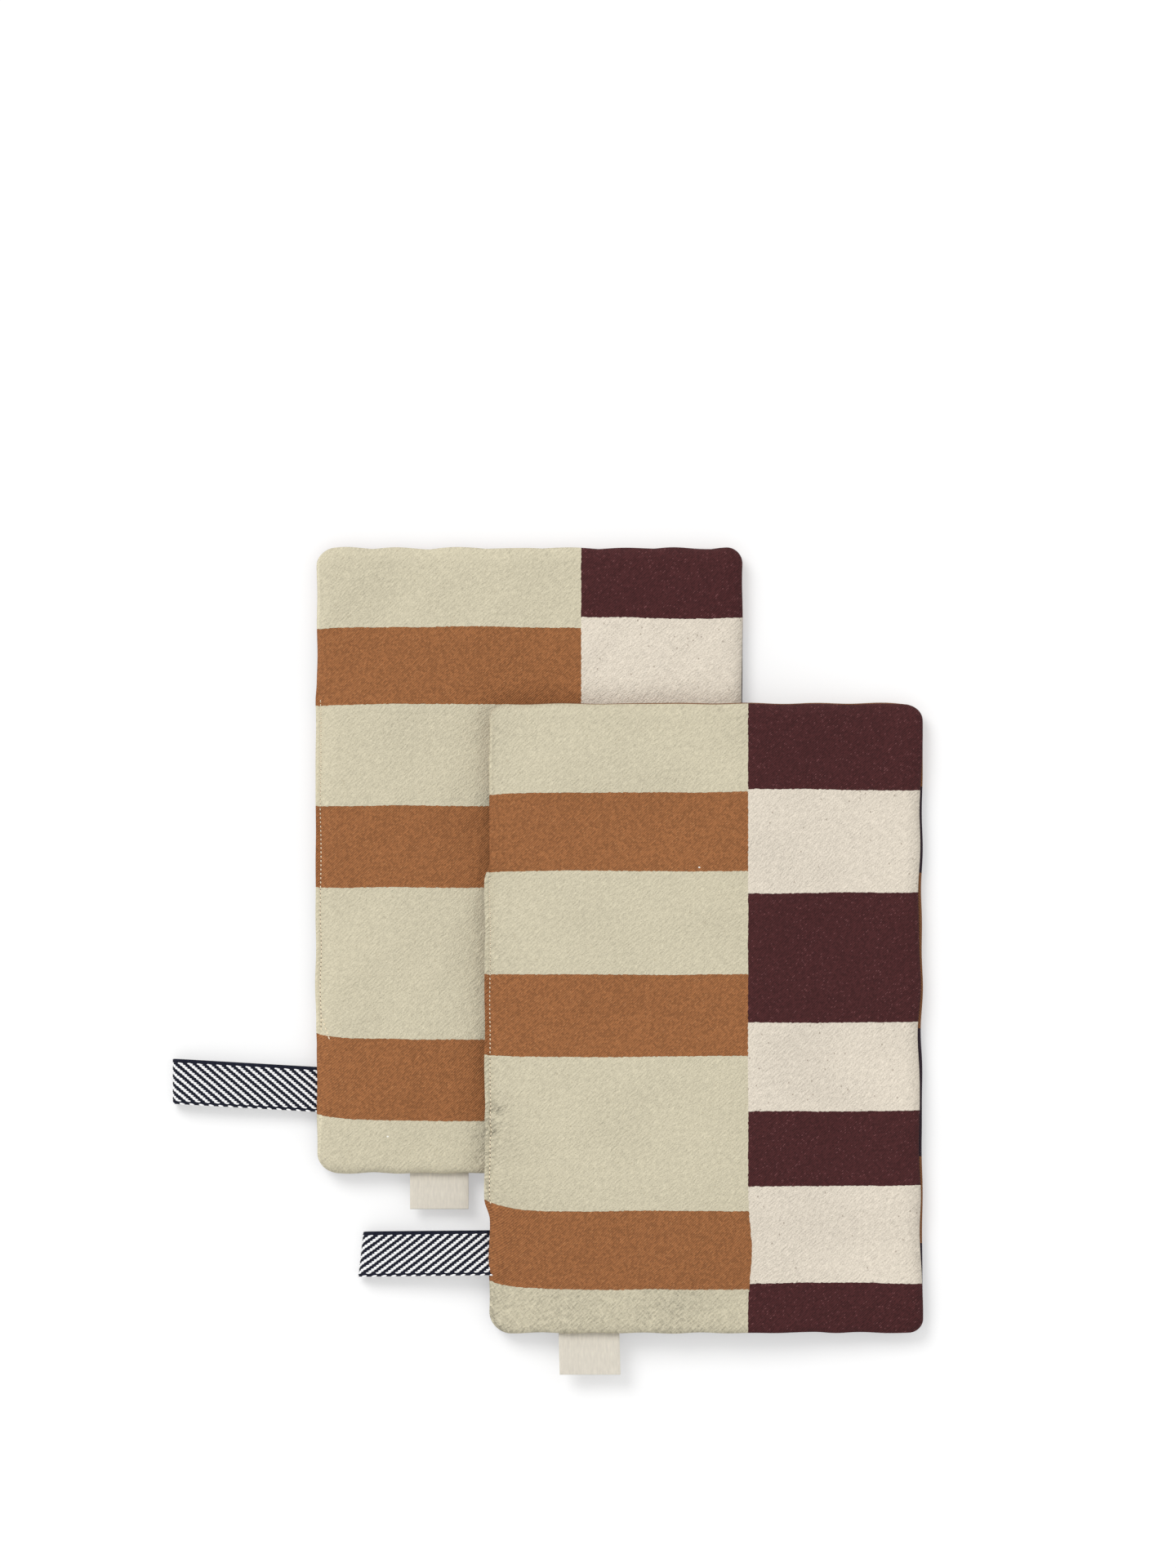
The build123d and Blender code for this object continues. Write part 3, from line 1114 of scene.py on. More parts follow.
@dataclass
class PlainCloth(Finish):
    """A plain or banded weave of one yarn count.

    pitch is the distance from one yarn to the next, and bands are the places along the
    cloth where the colour changes to the other one and back, all in millimetres. contrast
    is how much lighter the crowns of the yarns are than the gaps, and a twill's yarns
    make diagonal lines.
    """

    colour: tuple[float, ...]
    pitch: float
    other: tuple[float, ...] | None = None
    bands: Sequence[float] = ()
    contrast: float = 0.3
    twill: bool = False

    SLUB = Grain(0.25, 1.1, 4.0, detail=2.0)

    def surface(self) -> tuple[Wire, Wire, Wire | float]:
        """Lay the yarns."""
        bench = self.bench
        x, y, _ = self.cloth_place()
        if self.twill:
            relief = ((x * DIAGONAL_X + y * DIAGONAL_Y) / self.pitch).wave()
        else:
            over = (x / self.pitch).wave() * (y / self.pitch).wave()
            under = (x / self.pitch + 0.5).wave() * (y / self.pitch + 0.5).wave()
            relief = over + under
        slub = self.SLUB.lay(x, y)
        shade = (1 - self.contrast) + self.contrast * relief + 0.3 * (slub - 0.5)
        other = self.other or self.colour
        base = bench.blend(self.alternating(y, self.bands), self.colour, other)
        return self.shaded(base, shade), relief + slub * 0.4, 0.88


@dataclass
class Yarn(Finish):
    """Twisted yarn or fleecy fibre, patterned on object coordinates.

    size is that of its grain, in millimetres, and variation is how much its shade varies.
    """

    colour: tuple[float, ...]
    size: float
    variation: float = 0.3
    roughness: float = 0.8

    def surface(self) -> tuple[Wire, Wire, Wire | float]:
        """Lay the fibres."""
        bench = self.bench
        x, y, z = self.object_place()
        place = (x / self.size, y / self.size, z / self.size)
        fibres = bench.noise(*place, detail=3.0, roughness=0.6)
        shade = (1 - self.variation / 2) + self.variation * fibres
        return self.shaded(self.colour, shade), fibres, self.roughness


class Palette:
    """Every finish of the pair."""

    def __init__(self) -> None:
        """Make the materials."""
        self.fronts = {
            "lower": StripedDoubleCloth(
                "front_cloth_lower", 117.5,
                (35.6, 70.4, 114.8, 151.3, 218.9, 255.0),
                (30.8, 77.2, 134.1, 173.3, 205.9, 251.2),
                lint=(31.0, 262.0),
            ),
            "upper": StripedDoubleCloth(
                "front_cloth_upper", 115.0,
                (39.9, 75.1, 121.0, 157.3, 226.0, 260.9),
                (38.8, 84.8, 142.4, 181.3, 214.8, 258.4),
                lint=(93.2, 73.2),
            ),
        }
        self.back = PlainCloth(
            "back_cloth", srgb(150, 101, 66), 0.9, other=srgb(58, 44, 54),
            bands=(37.0, 75.8, 145.0, 201.6, 240.3), contrast=0.4, twill=True,
        )
        self.lining = PlainCloth("lining_cotton", srgb(214, 203, 182), 0.55)
        self.turned = PlainCloth("turned_edges_cotton", srgb(200, 184, 158), 0.6)
        self.label = PlainCloth("label_cotton", srgb(255, 247, 231), 0.42, contrast=0.1)
        self.wadding = Yarn("cotton_wadding", srgb(236, 232, 222), 1.6, 0.25, 0.95)
        self.tape = PlainCloth("loop_tape_navy", srgb(22, 26, 44), 0.85, contrast=0.5)
        self.white_yarn = Yarn("white_tape_yarn", srgb(252, 252, 252), 0.35, 0.22)
        self.navy_yarn = Yarn("navy_tape_yarn", srgb(20, 24, 42), 0.35, 0.5)
        self.thread = Yarn("topstitch_thread", srgb(246, 231, 202), 0.3, 0.3)
        # A dark brown that paints the shade in the needle holes between the stitches.
        self.needle_hole = Yarn("needle_hole", srgb(84, 56, 44), 0.3, 0.3)


# ------------ the panels


@dataclass
class Panels:
    """The two panels of one mitt: covers, waddings, linings and turned-in edges."""

    pair: Pair
    form: MittForm
    palette: Palette

    step = 1.5 * MM
    edge_lines = 8
    soft_step = 3.5 * MM
    soft_border = 6 * MM
    soft_lines = 4
    seam_turn = (0.2 * MM, 0.45 * MM, 0.8 * MM, 1.4 * MM, 2.2 * MM)
    mouth_turn = (0.3 * MM, 0.9 * MM, 2.0 * MM, 7.0 * MM, 12.0 * MM)
    seam_turn_roll = 0.9 * MM
    mouth_turn_roll = 2.0 * MM
    seam_gap = 0.05 * MM
    facing_gap = 0.05 * MM
    loop_swell = 1.0 * MM
    pull_down = 230 * MM
    pull_reach = 9 * MM
    grain_sway = 0.25 * MM
    bow = 1.7 * MM
    bow_down = 244 * MM
    wadding_insets = (4.2 * MM, 3.2 * MM)
    least_wadding = 0.15 * MM
    lining_insets = (4 * MM, 2.5 * MM)
    lining_cut = 6 * MM
    edge_width = 10 * MM
    edge_corner = 9 * MM
    # Inset and height of each corner of the turned edges' section.
    edge_section = (
        (2.4 * MM, 0.40 * MM), (5.5 * MM, 0.55 * MM), (9.6 * MM, 0.35 * MM),
        (9.6 * MM, -0.35 * MM), (5.5 * MM, -0.55 * MM), (2.4 * MM, -0.40 * MM),
    )

    def build(self) -> None:
        """Make every layer and put it on its body."""
        body = f"{self.form.name}_mitt"
        finishes = {Side.FRONT: self.palette.fronts[self.form.name], Side.BACK: self.palette.back}
        for side in Side:
            word = side.name.lower()
            stem = f"{self.form.name}_{word}"
            wadding = self.wadding(side, f"{stem}_wadding_fill")
            self.palette.wadding.dress(wadding)
            settle(wadding, body, "wadding", f"{stem}_wadding")
            lining = self.lining(side, f"{stem}_lining_cloth")
            self.palette.lining.dress(lining)
            settle(lining, body, "lining", f"{stem}_lining")
            flat = self.flat(self.lining_cut)
            cover = self.cover(side, f"{stem}_cover_cloth")
            finishes[side].dress(cover)
            settle(cover, body, f"{word}_cloth", f"{stem}_cover")
        edges = self.turned_edges(f"{self.form.name}_turned_edges")
        self.palette.turned.dress(edges)
        settle(edges, body, "turned_edges", f"{self.form.name}_seam_allowance")

    def flat(self, inset: float) -> tuple[float, float]:
        """Size of a panel's cloth before it was sewn."""
        return self.form.width - 2 * inset, self.form.length - inset

    def sewn_in(self, u: Array, v: Array) -> Array:
        """How far the seam parts, at the left edge, for the loop that is sewn into it."""
        start, end = self.form.loop_span
        beside = window(v, start - 1 * MM, end + 1 * MM, 3 * MM)
        return self.loop_swell * beside * np.exp(-u / (4 * MM))

    def curve_of_grain(self, side: Side, u: Array, v: Array) -> Array:
        """How far the cloth's stripes are pulled off straight, in metres down the cloth."""
        form = self.form
        down = form.length - v
        pull = 2.0 - 4.8 * down / form.length - 4 * bell(down - self.pull_down, 28 * MM)
        pull = pull * MM * np.exp(-np.maximum(u, 0) / self.pull_reach)
        sway = self.grain_sway * Undulation(form.edges.seed + 21, 90 * MM)(u, v)
        if side is Side.FRONT and form.name == "lower":
            sway = sway + 1.0 * MM * ease((u - 0.6 * form.width) / (0.4 * form.width))
            pull = 0.6 * pull
        return pull + sway

    def bow_of_grain(self, v: Array) -> Array:
        """How far the line between the cloth's columns bows to the right above the mouth."""
        return self.bow * bell(self.form.length - v - self.bow_down, 15 * MM)

    def cover(self, side: Side, name: str) -> bpy.types.Object:
        """Make one cover: the padded face, its seam edges and its turned-in hem.

        Args:
            side: the panel.
            name: the piece's name.

        Returns:
            The cover, with its thickness.
        """
        form = self.form
        us = stations(form.width, form.edge_roll, self.edge_lines, self.step)
        vs = stations(form.length, form.edge_roll, self.edge_lines, self.step)
        flat_u, flat_v = np.meshgrid(us, vs, indexing="ij")
        u, v = form.rounded(flat_u, flat_v)
        if side is Side.BACK:
            u, v = form.parted(u, v)
        height = self.pair.cover(form, side, flat_u, flat_v) + self.sewn_in(flat_u, flat_v)
        # How loose the cloth lies, which the front's material turns into crinkle relief and painted
        # shade.
        slack_and_shade = MM * self.pair.slack_and_shade(form, side, flat_u, flat_v)
        points = [form.place(u, v, form.plane(side, u, v) + side.value * height)]
        cloth = [np.stack([flat_u.ravel(), flat_v.ravel(), slack_and_shade.ravel()], axis=1)]
        flip = side is Side.BACK
        faces = grid_faces(*u.shape, flip)
        ring = border_of(*u.shape)
        border, heights = points[0][ring], height.ravel()[ring]
        first = u.size
        for places, on_cloth in self.turned_rim(side, border, heights, cloth[0][ring]):
            points.append(places)
            cloth.append(on_cloth)
            current = list(range(first, first + len(places)))
            faces += band_faces(ring, current, flip)
            ring = current
            first += len(places)
        flat = np.concatenate(cloth)
        pulled = self.curve_of_grain(side, flat[:, 0], flat[:, 1])
        flat[:, 0] -= self.bow_of_grain(flat[:, 1])
        flat[:, 1] = form.length - flat[:, 1] - pulled
        made = add_mesh(name, np.concatenate(points), faces, flat)
        thicken(made, form.cloth)
        return made

    def turned_rim(
        self, side: Side, border: Array, heights: Array, cloth: Array
    ) -> Iterator[tuple[Array, Array]]:
        """Turn a cover in along its border: a little at the seams, a hem at the mouth.

        Args:
            side: the panel.
            border: the points of the face's border, once round, one row each.
            heights: how far the border stands off the seam line.
            cloth: where it lies on the flat cloth.

        Yields:
            The points of each ring further in, and where they lie on the flat cloth.
        """
        form = self.form
        edge = border[:, :2] - (form.left, form.mouth)
        inside = inward(edge)
        mouth_part = self.mouth_share(cloth[:, 0], cloth[:, 1])
        for seam, mouth in zip(self.seam_turn, self.mouth_turn):
            turn = seam + (mouth - seam) * mouth_part
            u, v = (edge + inside * turn[:, None]).T
            lip = self.seam_gap + self.sewn_in(u, v)
            facing = np.maximum(form.hand(u, v) - form.cloth - self.facing_gap, lip)
            level = lip + (facing - lip) * mouth_part
            roll = self.seam_turn_roll + (self.mouth_turn_roll - self.seam_turn_roll) * mouth_part
            down = heights - (heights - level) * crown(turn, roll)
            moved = cloth.copy()
            moved[:, :2] -= inside * (turn[:, None] + 1 * MM)
            yield form.place(u, v, form.plane(side, u, v) + side.value * down), moved

    def mouth_share(self, u: Array, v: Array) -> Array:
        """1 along the mouth, fading out at its two corners, and 0 along the seams."""
        near_side = np.minimum(u, self.form.width - u)
        return ease(near_side / (7 * MM)) * (v < 0.01 * MM)

    def slab(
        self,
        name: str,
        side: Side,
        insets: tuple[float, float],
        low: Callable[[Array, Array], Array],
        high: Callable[[Array, Array], Array],
    ) -> bpy.types.Object:
        """Make a closed layer between two heights above the seam line.

        Args:
            name: the piece's name.
            side: the panel.
            insets: its distance from the three sewn edges, and from the mouth.
            low: the height of its inner side.
            high: the height of its outer side.

        Returns:
            The layer.
        """
        form = self.form
        inset, mouth_inset = insets
        border, lines = self.soft_border, self.soft_lines
        length = form.length - inset - mouth_inset
        us = inset + stations(form.width - 2 * inset, border, lines, self.soft_step)
        vs = mouth_inset + stations(length, border, lines, self.soft_step)
        flat_u, flat_v = np.meshgrid(us, vs, indexing="ij")
        u, v = form.rounded(flat_u, flat_v)
        plane = form.plane(side, u, v)
        outer = form.place(u, v, plane + side.value * high(flat_u, flat_v))
        inner = form.place(u, v, plane + side.value * low(flat_u, flat_v))
        flip = side is Side.BACK
        faces = grid_faces(*u.shape, flip)
        faces += grid_faces(*u.shape, not flip, first=u.size)
        ring = border_of(*u.shape)
        faces += band_faces(ring, [u.size + k for k in ring], flip)
        flat = np.stack([flat_u.ravel(), flat_v.ravel(), np.zeros(u.size)], axis=1)
        return add_mesh(name, np.concatenate([outer, inner]), faces, np.concatenate([flat, flat]))

    def wadding(self, side: Side, name: str) -> bpy.types.Object:
        """Make the soft filling between the lining and the cover."""
        form = self.form

        def inner(u: Array, v: Array) -> Array:
            """The side that lies on the lining."""
            return form.hand(u, v) + form.lining_cloth + form.gap

        def outer(u: Array, v: Array) -> Array:
            """The side that fills the cover."""
            under_cover = self.pair.cover(form, side, u, v) - form.cloth - form.gap
            return np.maximum(under_cover, inner(u, v) + self.least_wadding)

        return self.slab(name, side, self.wadding_insets, inner, outer)

    def lining(self, side: Side, name: str) -> bpy.types.Object:
        """Make the lining, which faces the hand."""
        form = self.form

        def outer(u: Array, v: Array) -> Array:
            """The side towards the wadding."""
            return form.hand(u, v) + form.lining_cloth

        return self.slab(name, side, self.lining_insets, form.hand, outer)

    def seam_path(self, inset: float) -> Array:
        """A line inside the three sewn seams: up from the mouth, over and down again."""
        form, corner = self.form, self.edge_corner
        bend, right, top = corner - inset, form.width - corner, form.length - corner
        up = np.linspace(corner, top, 80)
        over = np.linspace(corner, right, 54)
        turn = np.linspace(0, math.pi / 2, 7)[1:-1]
        path = [(inset, v) for v in up]
        path += [(corner - bend * math.cos(a), top + bend * math.sin(a)) for a in turn]
        path += [(u, form.length - inset) for u in over]
        path += [(right + bend * math.sin(a), top + bend * math.cos(a)) for a in turn]
        path += [(form.width - inset, v) for v in up[::-1]]
        return np.array(path)

    def turned_edges(self, name: str) -> bpy.types.Object:
        """Make the turned-in edges of the layers, a strip inside the three sewn seams."""
        form = self.form
        points, flat, faces = [], [], []
        for inset, height in self.edge_section:
            path = self.seam_path(inset)
            u, v = form.strayed(path[:, 0], path[:, 1])
            points.append(form.place(u, v, form.plane(Side.BACK, u, v) + height))
            flat.append(np.column_stack([path, np.zeros(len(path))]))
        sides, count = len(points), len(path)
        for k in range(sides):
            one, two = k * count, (k + 1) % sides * count
            faces += [(one + i, two + i, two + i + 1, one + i + 1) for i in range(count - 1)]
        faces.append([k * count for k in range(sides)][::-1])
        faces.append([(k + 1) * count - 1 for k in range(sides)])
        return add_mesh(name, np.concatenate(points), faces, np.concatenate(flat), smooth=False)


# ------------ what repeats


class GeometryTree:
    """A Geometry Nodes tree with named inputs, which turns a carrier into a plain mesh."""

    name = "tree"
    sockets: dict[str, str] = {}

    def __init__(self) -> None:
        """Make the tree, its inputs and its nodes."""
        self.tree = bpy.data.node_groups.new(self.name, "GeometryNodeTree")
        self.bench = Bench(self.tree)
        face = self.tree.interface
        face.new_socket(name="Geometry", in_out="OUTPUT", socket_type="NodeSocketGeometry")
        face.new_socket(name="Geometry", in_out="INPUT", socket_type="NodeSocketGeometry")
        for label, kind in self.sockets.items():
            face.new_socket(name=label, in_out="INPUT", socket_type=f"NodeSocket{kind}")
        self.entry = self.bench.node("NodeGroupInput")
        result = self.lay()
        finished = self.bench.wire("GeometryNodeRealizeInstances", None, {"Geometry": result})
        values = {"Geometry": finished, "Material": self.given("Material")}
        painted = self.bench.wire("GeometryNodeSetMaterial", None, values)
        self.bench.node("NodeGroupOutput", None, {"Geometry": painted})

    def given(self, label: str) -> Wire:
        """One of the tree's inputs."""
        return Wire(self.bench, self.entry.outputs[label])

    def lay(self) -> Wire:
        """Lay the nodes that make the geometry, and return it."""
        raise NotImplementedError

    def curve(self) -> Wire:
        """The carrier's line, as a curve."""
        return self.bench.wire("GeometryNodeMeshToCurve", None, {"Mesh": self.given("Geometry")})

    def stray(self) -> Wire:
        """A random number from -1 to 1 for each bead."""
        values = {2: -1.0, 3: 1.0, "Seed": self.given("Seed")}
        return self.bench.wire("FunctionNodeRandomValue", {"data_type": "FLOAT"}, values, "Value")

    def beads(self, points: Wire, heading: Wire, normal: Wire, size: Wire) -> Wire:
        """Lay one small round bead on each point.

        Args:
            points: the points.
            heading: the direction of each bead's length.
            normal: the direction that its height is nearest to.
            size: its length, width and height.

        Returns:
            The beads.
        """
        align = "FunctionNodeAlignRotationToVector"
        bead = self.bench.wire(
            "GeometryNodeMeshUVSphere", None, {"Segments": 8, "Rings": 5, "Radius": 0.5}, "Mesh"
        )
        along = self.bench.wire(align, {"axis": "X"}, {"Vector": heading})
        values = {"Rotation": along, "Vector": normal}
        turned = self.bench.wire(align, {"axis": "Z", "pivot_axis": "X"}, values)
        values = {"Points": points, "Instance": bead, "Rotation": turned, "Scale": size}
        return self.bench.wire("GeometryNodeInstanceOnPoints", None, values)

    def make(self, name: str, line: Array, values: dict[str, object]) -> bpy.types.Object:
        """Run the tree on a line of points.

        Args:
            name: the new piece's name.
            line: the points, in order, one row each.
            values: a value for each named input.

        Returns:
            The piece, a plain mesh.
        """
        mesh = bpy.data.meshes.new(f"{name}_line")
        edges = [(i, i + 1) for i in range(len(line) - 1)]
        mesh.from_pydata(line.tolist(), edges, [])
        carrier = linked(f"{name}_line", mesh)
        modifier = carrier.modifiers.new(self.name, "NODES")
        modifier.node_group = self.tree
        identifiers = {item.name: item.identifier for item in self.tree.interface.items_tree}
        for label, value in values.items():
            modifier[identifiers[label]] = value
        graph = bpy.context.evaluated_depsgraph_get()
        drawn = carrier.evaluated_get(graph)
        result = bpy.data.meshes.new_from_object(
            drawn, preserve_all_data_layers=True, depsgraph=graph
        )
        bpy.data.objects.remove(carrier)
        bpy.data.meshes.remove(mesh)
        result.name = name
        result.shade_smooth()
        return linked(name, result)


class StitchTree(GeometryTree):
    """A run of stitches along a line."""

    name = "stitches"
    sockets = dict.fromkeys(("Pitch", "Length", "Thickness", "Slant", "Unevenness"), "Float")
    sockets |= {"Up": "Vector", "Seed": "Int", "Material": "Material"}

    def lay(self) -> Wire:
        """Lay one bead at each stitch, turned along the line."""
        bench = self.bench
        values = {"Curve": self.curve(), "Length": self.given("Pitch")}
        spread = bench.node("GeometryNodeCurveToPoints", {"mode": "LENGTH"}, values)
        points = Wire(bench, spread.outputs["Points"])
        tangent = Wire(bench, spread.outputs["Tangent"])
        up = self.given("Up")
        stray = self.stray()
        lean = self.given("Slant") + stray * self.given("Unevenness")
        aside = bench.scaled(bench.vectors("CROSS_PRODUCT", up, tangent), lean)
        heading = bench.vectors("ADD", tangent, aside)
        thickness = self.given("Thickness")
        size = bench.vector(self.given("Length") * (1 + stray * 0.08), thickness, thickness * 0.8)
        return self.beads(points, heading, up, size)


class FloatTree(GeometryTree):
    """The yarn floats of a woven tape: rows of beads that shift from row to row."""

    name = "floats"
    sockets = dict.fromkeys(("Columns", "Rows", "Seed"), "Int")
    sockets |= dict.fromkeys(("Pitch", "Row pitch", "Row shift", "Start"), "Float")
    sockets |= dict.fromkeys(("Length", "Width", "Height", "Lift", "Tilt"), "Float")
    sockets |= {"Wide": "Vector", "Material": "Material"}

    def lay(self) -> Wire:
        """Lay a grid of beads, wrapped along the tape."""
        bench = self.bench
        curve = self.curve()
        run = bench.wire("GeometryNodeCurveLength", None, {"Curve": curve})
        columns, rows, pitch = (self.given(label) for label in ("Columns", "Rows", "Pitch"))
        counts = {"Vertices X": columns, "Vertices Y": rows}
        counts |= {"Size X": columns - 1, "Size Y": rows - 1}
        grid = bench.wire("GeometryNodeMeshGrid", None, counts, "Mesh")
        at = bench.wire("GeometryNodeInputPosition")
        x, y, _ = bench.split(at)
        column, row = x + (columns - 1) / 2, y + (rows - 1) / 2
        place = column * pitch + row * self.given("Row shift") + self.given("Start")
        place = place % (columns * pitch)
        beyond = {"Geometry": grid, "Selection": place > run}
        kept = bench.wire("GeometryNodeDeleteGeometry", {"domain": "POINT"}, beyond)
        values = {"Curves": curve, "Length": place}
        sample = bench.node("GeometryNodeSampleCurve", {"mode": "LENGTH"}, values)
        tangent = Wire(bench, sample.outputs["Tangent"])
        wide = self.given("Wide")
        normal = bench.vectors("CROSS_PRODUCT", wide, tangent)
        heading = bench.vectors("ADD", tangent, bench.scaled(wide, self.given("Tilt")))
        length = self.given("Length") * (1 + self.stray() * 0.07)
        size = bench.vector(length, self.given("Width"), self.given("Height"))
        beads = self.beads(kept, heading, normal, size)
        target = Wire(bench, sample.outputs["Position"])
        for direction, share in ((wide, y * self.given("Row pitch")), (normal, self.given("Lift"))):
            target = bench.vectors("ADD", target, bench.scaled(direction, share))
        move = {"Instances": beads, "Translation": bench.vectors("SUBTRACT", target, at)}
        move["Local Space"] = False
        return bench.wire("GeometryNodeTranslateInstances", None, move)


# ------------ folded strips


class Sewn(NamedTuple):
    """What the frame calls a sewn-in strip, and the length over which it bends out."""

    node: str
    body: str
    slot: str
    bend: float


@dataclass(frozen=True)
class FoldedStrip:
    """A strip folded back on itself, sewn in at both of its ends.

    origin is the middle of its root, out the level direction in which it runs, and wide
    the direction of its width. A point of the fold is given by its distance from the
    root and its height over the root.
    """

    origin: Vector
    out: Vector
    wide: Vector
    width: float
    reach: float
    drop: float
    fold_radius: float
    thickness: float
    root: float
    root_gap: float
    lean: float = 0.0
    slant: float = 0.0
    curl: float = 0.0

    leg_points = 44
    turn_points = 17
    upper_bow = 0.3 * MM
    lower_bow = 0.2 * MM

    def profile(self) -> Array:
        """Middle line of the strip, from its upper root round the fold to its lower root."""
        radius = self.fold_radius - self.thickness / 2
        centre = self.reach - self.fold_radius
        legs = np.linspace(-self.root, centre, self.leg_points)
        share = ease((legs + self.root) / (centre + self.root))
        bow = np.sin(np.clip(legs / centre, 0, 1) * math.pi)
        spread = self.root_gap + (radius - self.root_gap) * share
        top = spread - self.drop * share + self.upper_bow * bow
        low = -spread - self.drop * share - self.lower_bow * bow
        turn = np.linspace(math.pi / 2, -math.pi / 2, self.turn_points)[1:-1]
        around = centre + radius * np.cos(turn)
        height = radius * np.sin(turn) - self.drop
        distances = np.concatenate([legs, around, legs[::-1]])
        return np.column_stack([distances, np.concatenate([top, height, low[::-1]])])

    def line(self) -> Array:
        """The same line as points of the frame."""
        return self.placed(self.profile(), np.zeros(1), np.zeros(1))[:, 0]

    def length(self) -> float:
        """Length of the strip along its middle line."""
        steps = np.diff(self.profile(), axis=0)
        return float(np.linalg.norm(steps, axis=1).sum())

    def placed(self, profile: Array, across: Array, out: Array) -> Array:
        """Points of the frame beside the middle line.

        Args:
            profile: the middle line.
            across: distances from the line along the width.
            out: distances from the line, away from the inside of the fold.

        Returns:
            An array of rows, one for each point of the line, of points.
        """
        tangent = np.gradient(profile, axis=0)
        tangent /= np.linalg.norm(tangent, axis=1, keepdims=True)
        away = profile[:, 0, None] - tangent[:, 1, None] * out
        height = profile[:, 1, None] + tangent[:, 0, None] * out
        shape = np.broadcast_shapes(away.shape, across.shape)
        points = np.array(self.origin)
        for distance, direction in ((away, self.out), (across, self.wide), (height, UP)):
            points = points + np.broadcast_to(distance, shape)[..., None] * np.array(direction)
        return points

    def skewed(self, points: Array) -> Array:
        """Lean the strip to one side, slant its fold and curl it, as a limp strip lies."""
        offset = points - np.array(self.origin)
        away = offset @ np.array(self.out)
        across = offset @ np.array(self.wide)
        share = ease(away / self.reach)
        moved = points + np.outer(self.lean * np.clip(away, 0, None), np.array(self.wide))
        moved = moved + np.outer(self.slant * across * share, np.array(self.out))
        lifted = self.curl * (2 * across / self.width) ** 2 * share
        return moved + np.outer(lifted, UP)

    def mesh(self, name: str) -> bpy.types.Object:
        """Make the strip itself, a closed band with rounded edges.

        Args:
            name: the piece's name.

        Returns:
            The strip.
        """
        half, thick = self.width / 2, self.thickness / 2
        across = np.linspace(-half + thick, half - thick, 13)
        turn = np.linspace(math.pi / 2, -math.pi / 2, 5)[1:-1]
        section = [(w, thick) for w in across]
        section += [(half - thick + thick * math.cos(a), thick * math.sin(a)) for a in turn]
        section += [(w, -thick) for w in across[::-1]]
        section += [(-half + thick - thick * math.cos(a), -thick * math.sin(a)) for a in turn]
        sides = np.array(section)
        profile = self.profile()
        grid = self.placed(profile, sides[None, :, 0], sides[None, :, 1])
        points = self.skewed(grid.reshape(-1, 3))
        rows, columns = grid.shape[:2]
        faces = []
        for i in range(rows - 1):
            for j in range(columns):
                a, b = i * columns + j, i * columns + (j + 1) % columns
                faces.append((a, b, b + columns, a + columns))
        faces.append(list(range(columns))[::-1])
        faces.append([(rows - 1) * columns + j for j in range(columns)])
        travelled = np.concatenate([[0], np.linalg.norm(np.diff(profile, axis=0), axis=1).cumsum()])
        flat = np.zeros((rows, columns, 3))
        flat[..., 0] = travelled[:, None]
        flat[..., 1] = sides[None, :, 0]
        return add_mesh(name, points, faces, flat.reshape(-1, 3))

    def skew_mesh(self, piece: bpy.types.Object) -> None:
        """Lean a finished mesh with the strip that it lies on."""
        count = len(piece.data.vertices)
        flat = np.empty(count * 3, np.float32)
        piece.data.vertices.foreach_get("co", flat)
        moved = self.skewed(flat.reshape(-1, 3).astype(float))
        piece.data.vertices.foreach_set("co", moved.astype(np.float32).ravel())
        piece.data.update()


